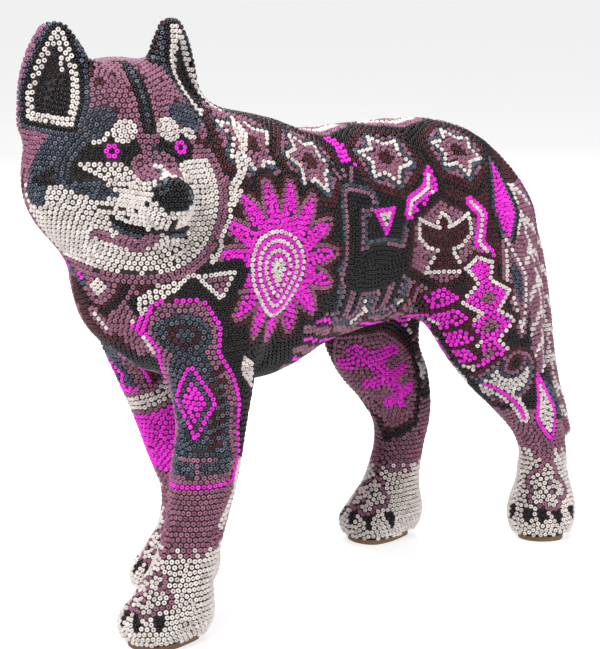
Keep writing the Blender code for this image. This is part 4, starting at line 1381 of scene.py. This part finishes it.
def make_beads():
    rng = np.random.default_rng(BEAD_SEED)
    surface = Surface(SKIN_STEP)
    motifs = motif_list()
    points = start_lattice(surface)
    points, normals = surface.snap(points)
    points = thin_out(points, START_GAP * PITCH)

    def rows(spots, facing):
        shift = np.zeros_like(spots)
        for motif in motifs:
            chosen, far = motif.covered(spots, facing, regions)
            shift[chosen] = 0.5 * motif.pull(spots[chosen], facing[chosen], far)
        return shift

    for step in range(RELAX_ROUNDS + 1):
        last = step == RELAX_ROUNDS
        regions = region_labels(points)
        normals = surface.snap(points)[1]
        steps = LAST_STEPS if last else RELAX_STEPS
        points = relax(points, normals, surface, rows, steps)
        points = thin_out(points, (LAST_GAP if last else ROUND_GAP) * PITCH)
        if not last:
            points = fill_gaps(points, surface, rng)
    points = set_eyes(points)
    for _ in range(2):
        points = points - figure_field(points)[:, None] * slope(figure_field, points)
    normals = slope(figure_field, points)
    keep = points[:, 2] > COAT_FOOT + FOOT_MARGIN
    points, normals = points[keep], normals[keep]
    regions = region_labels(points)
    return points, normals, regions, painted(points, normals, regions, motifs)


def place_beads(materials):
    rng = np.random.default_rng(TONE_SEED)
    points, normals, regions, colours = make_beads()
    tones = np.clip(rng.normal(TONE_MEAN, TONE_SPREAD, len(points)), 0, 1)
    sizes = rng.uniform(*BEAD_SIZES, len(points))
    first, second, axis = bead_frames(normals, rng)
    for name in sorted(set(regions)):
        mine = np.flatnonzero(regions == name)
        frames = (first[mine], second[mine], axis[mine])
        piece = bead_mesh(name + "_beads", points[mine], list(colours[mine]), tones[mine],
                          sizes[mine], frames, materials)
        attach(piece, "root")
        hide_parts(name + "_bead_coat")


def place_wax():
    """The wax that shows between the beads; its colour is darker than the wax alone, to paint the
    shade in the gaps.
    """
    def wax_field(points):
        return np.maximum(figure_field(points) + WAX_DEPTH, COAT_FOOT - points[:, 2])

    verts, quads = surface_net(sample_field(wax_field, SKIN_STEP), BOX_LOW, SKIN_STEP)
    mesh = bpy.data.meshes.new("beeswax")
    mesh.from_pydata(((verts - ORIGIN) * MM).tolist(), [], quads.tolist())
    # near-black: dark wax plus painted shade that falls between the beads
    mesh.materials.append(grain_material("wax_and_painted_shade_look", (0.006, 0.0025, 0.002),
                                         (0.016, 0.007, 0.005), 300, 0.7))
    mesh.shade_smooth()
    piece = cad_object("beeswax", mesh)
    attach(piece, "root")
    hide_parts("beeswax_layer")


def finish_wood():
    carved = grain_material("carved_wood_look", (0.10, 0.045, 0.020), (0.22, 0.11, 0.055), 60,
                            0.6, (4, 1, 4))
    turned = grain_material("dowel_wood_look", (0.42, 0.27, 0.14), (0.60, 0.42, 0.24), 90,
                            0.55, (6, 6, 1))
    for name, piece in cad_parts.items():
        for slot in piece.material_slots:
            if name.endswith("_core"):
                slot.material = carved
            elif name.endswith("_dowel"):
                slot.material = turned


# ---------------------------------------------------------------- camera, light, floor
CAMERA_PLACE = (0.61473, -0.54632, 0.2740)
CAMERA_TURN = np.radians(49.1)
CAMERA_DIP = np.radians(11.65)
CAMERA_LENS = 115.5
CAMERA_SENSOR = 36
LIGHT_TARGET = Vector((0, 0, 0.12))
LIGHTS = {
    "key_light": ((0.25, -0.95, 0.95), 0.7, 16), "fill_light": ((1.1, 0.35, 0.5), 0.8, 7),
    "top_light": ((-0.2, 0.2, 1.2), 0.9, 9), "back_light": ((-0.9, 0.5, 0.7), 0.8, 7),
}
FLOOR_REACH = 6.0
FLOOR_GLOW = 0.7


def aim(piece, direction):
    piece.rotation_euler = Vector(direction).to_track_quat("-Z", "Y").to_euler()


def place_camera():
    data = bpy.data.cameras.new("camera")
    data.lens = CAMERA_LENS
    data.sensor_width = CAMERA_SENSOR
    camera = bpy.data.objects.new("camera", data)
    camera.location = CAMERA_PLACE
    aim(camera, (-np.sin(CAMERA_TURN) * np.cos(CAMERA_DIP),
                 np.cos(CAMERA_TURN) * np.cos(CAMERA_DIP), -np.sin(CAMERA_DIP)))
    bpy.context.scene.collection.objects.link(camera)
    bpy.context.scene.camera = camera


def area_light(name, place, size, power):
    data = bpy.data.lights.new(name, "AREA")
    data.shape, data.size, data.energy = "DISK", size, power
    light = bpy.data.objects.new(name, data)
    light.location = place
    aim(light, LIGHT_TARGET - Vector(place))
    bpy.context.scene.collection.objects.link(light)


def place_world():
    """Dim light from all round; seen directly, the surroundings are pale paper."""
    world = bpy.data.worlds.new("studio")
    world.use_nodes = True
    nodes, links = world.node_tree.nodes, world.node_tree.links
    dim = nodes["Background"]
    set_inputs(dim, {"Color": (1, 1, 1, 1), "Strength": 0.35})
    paper = nodes.new("ShaderNodeBackground")
    paper.inputs["Color"].default_value = (0.92, 0.92, 0.93, 1)
    seen = nodes.new("ShaderNodeLightPath")
    either = nodes.new("ShaderNodeMixShader")
    links.new(seen.outputs["Is Camera Ray"], either.inputs[0])
    links.new(dim.outputs[0], either.inputs[1])
    links.new(paper.outputs[0], either.inputs[2])
    links.new(either.outputs[0], nodes["World Output"].inputs["Surface"])
    bpy.context.scene.world = world


def place_studio():
    for name, facts in LIGHTS.items():
        area_light(name, *facts)
    place_world()
    mesh = bpy.data.meshes.new("floor")
    corners = [(x * FLOOR_REACH, y * FLOOR_REACH, 0)
               for x, y in ((-1, -1), (1, -1), (1, 1), (-1, 1))]
    mesh.from_pydata(corners, [], [(0, 1, 2, 3)])
    paper = grain_material("floor_look", (0.40, 0.40, 0.40), (0.43, 0.43, 0.43), 3, 0.7)
    shader = paper.node_tree.nodes["Principled BSDF"]
    set_inputs(shader, {"Emission Color": (1, 1, 1, 1), "Emission Strength": FLOOR_GLOW})
    mesh.materials.append(paper)
    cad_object("floor", mesh)


bpy.context.scene.view_settings.view_transform = "Standard"
place_camera()
place_studio()
place_wax()
finish_wood()
place_beads({colour: bead_material(colour) for colour in BEAD_TONES})
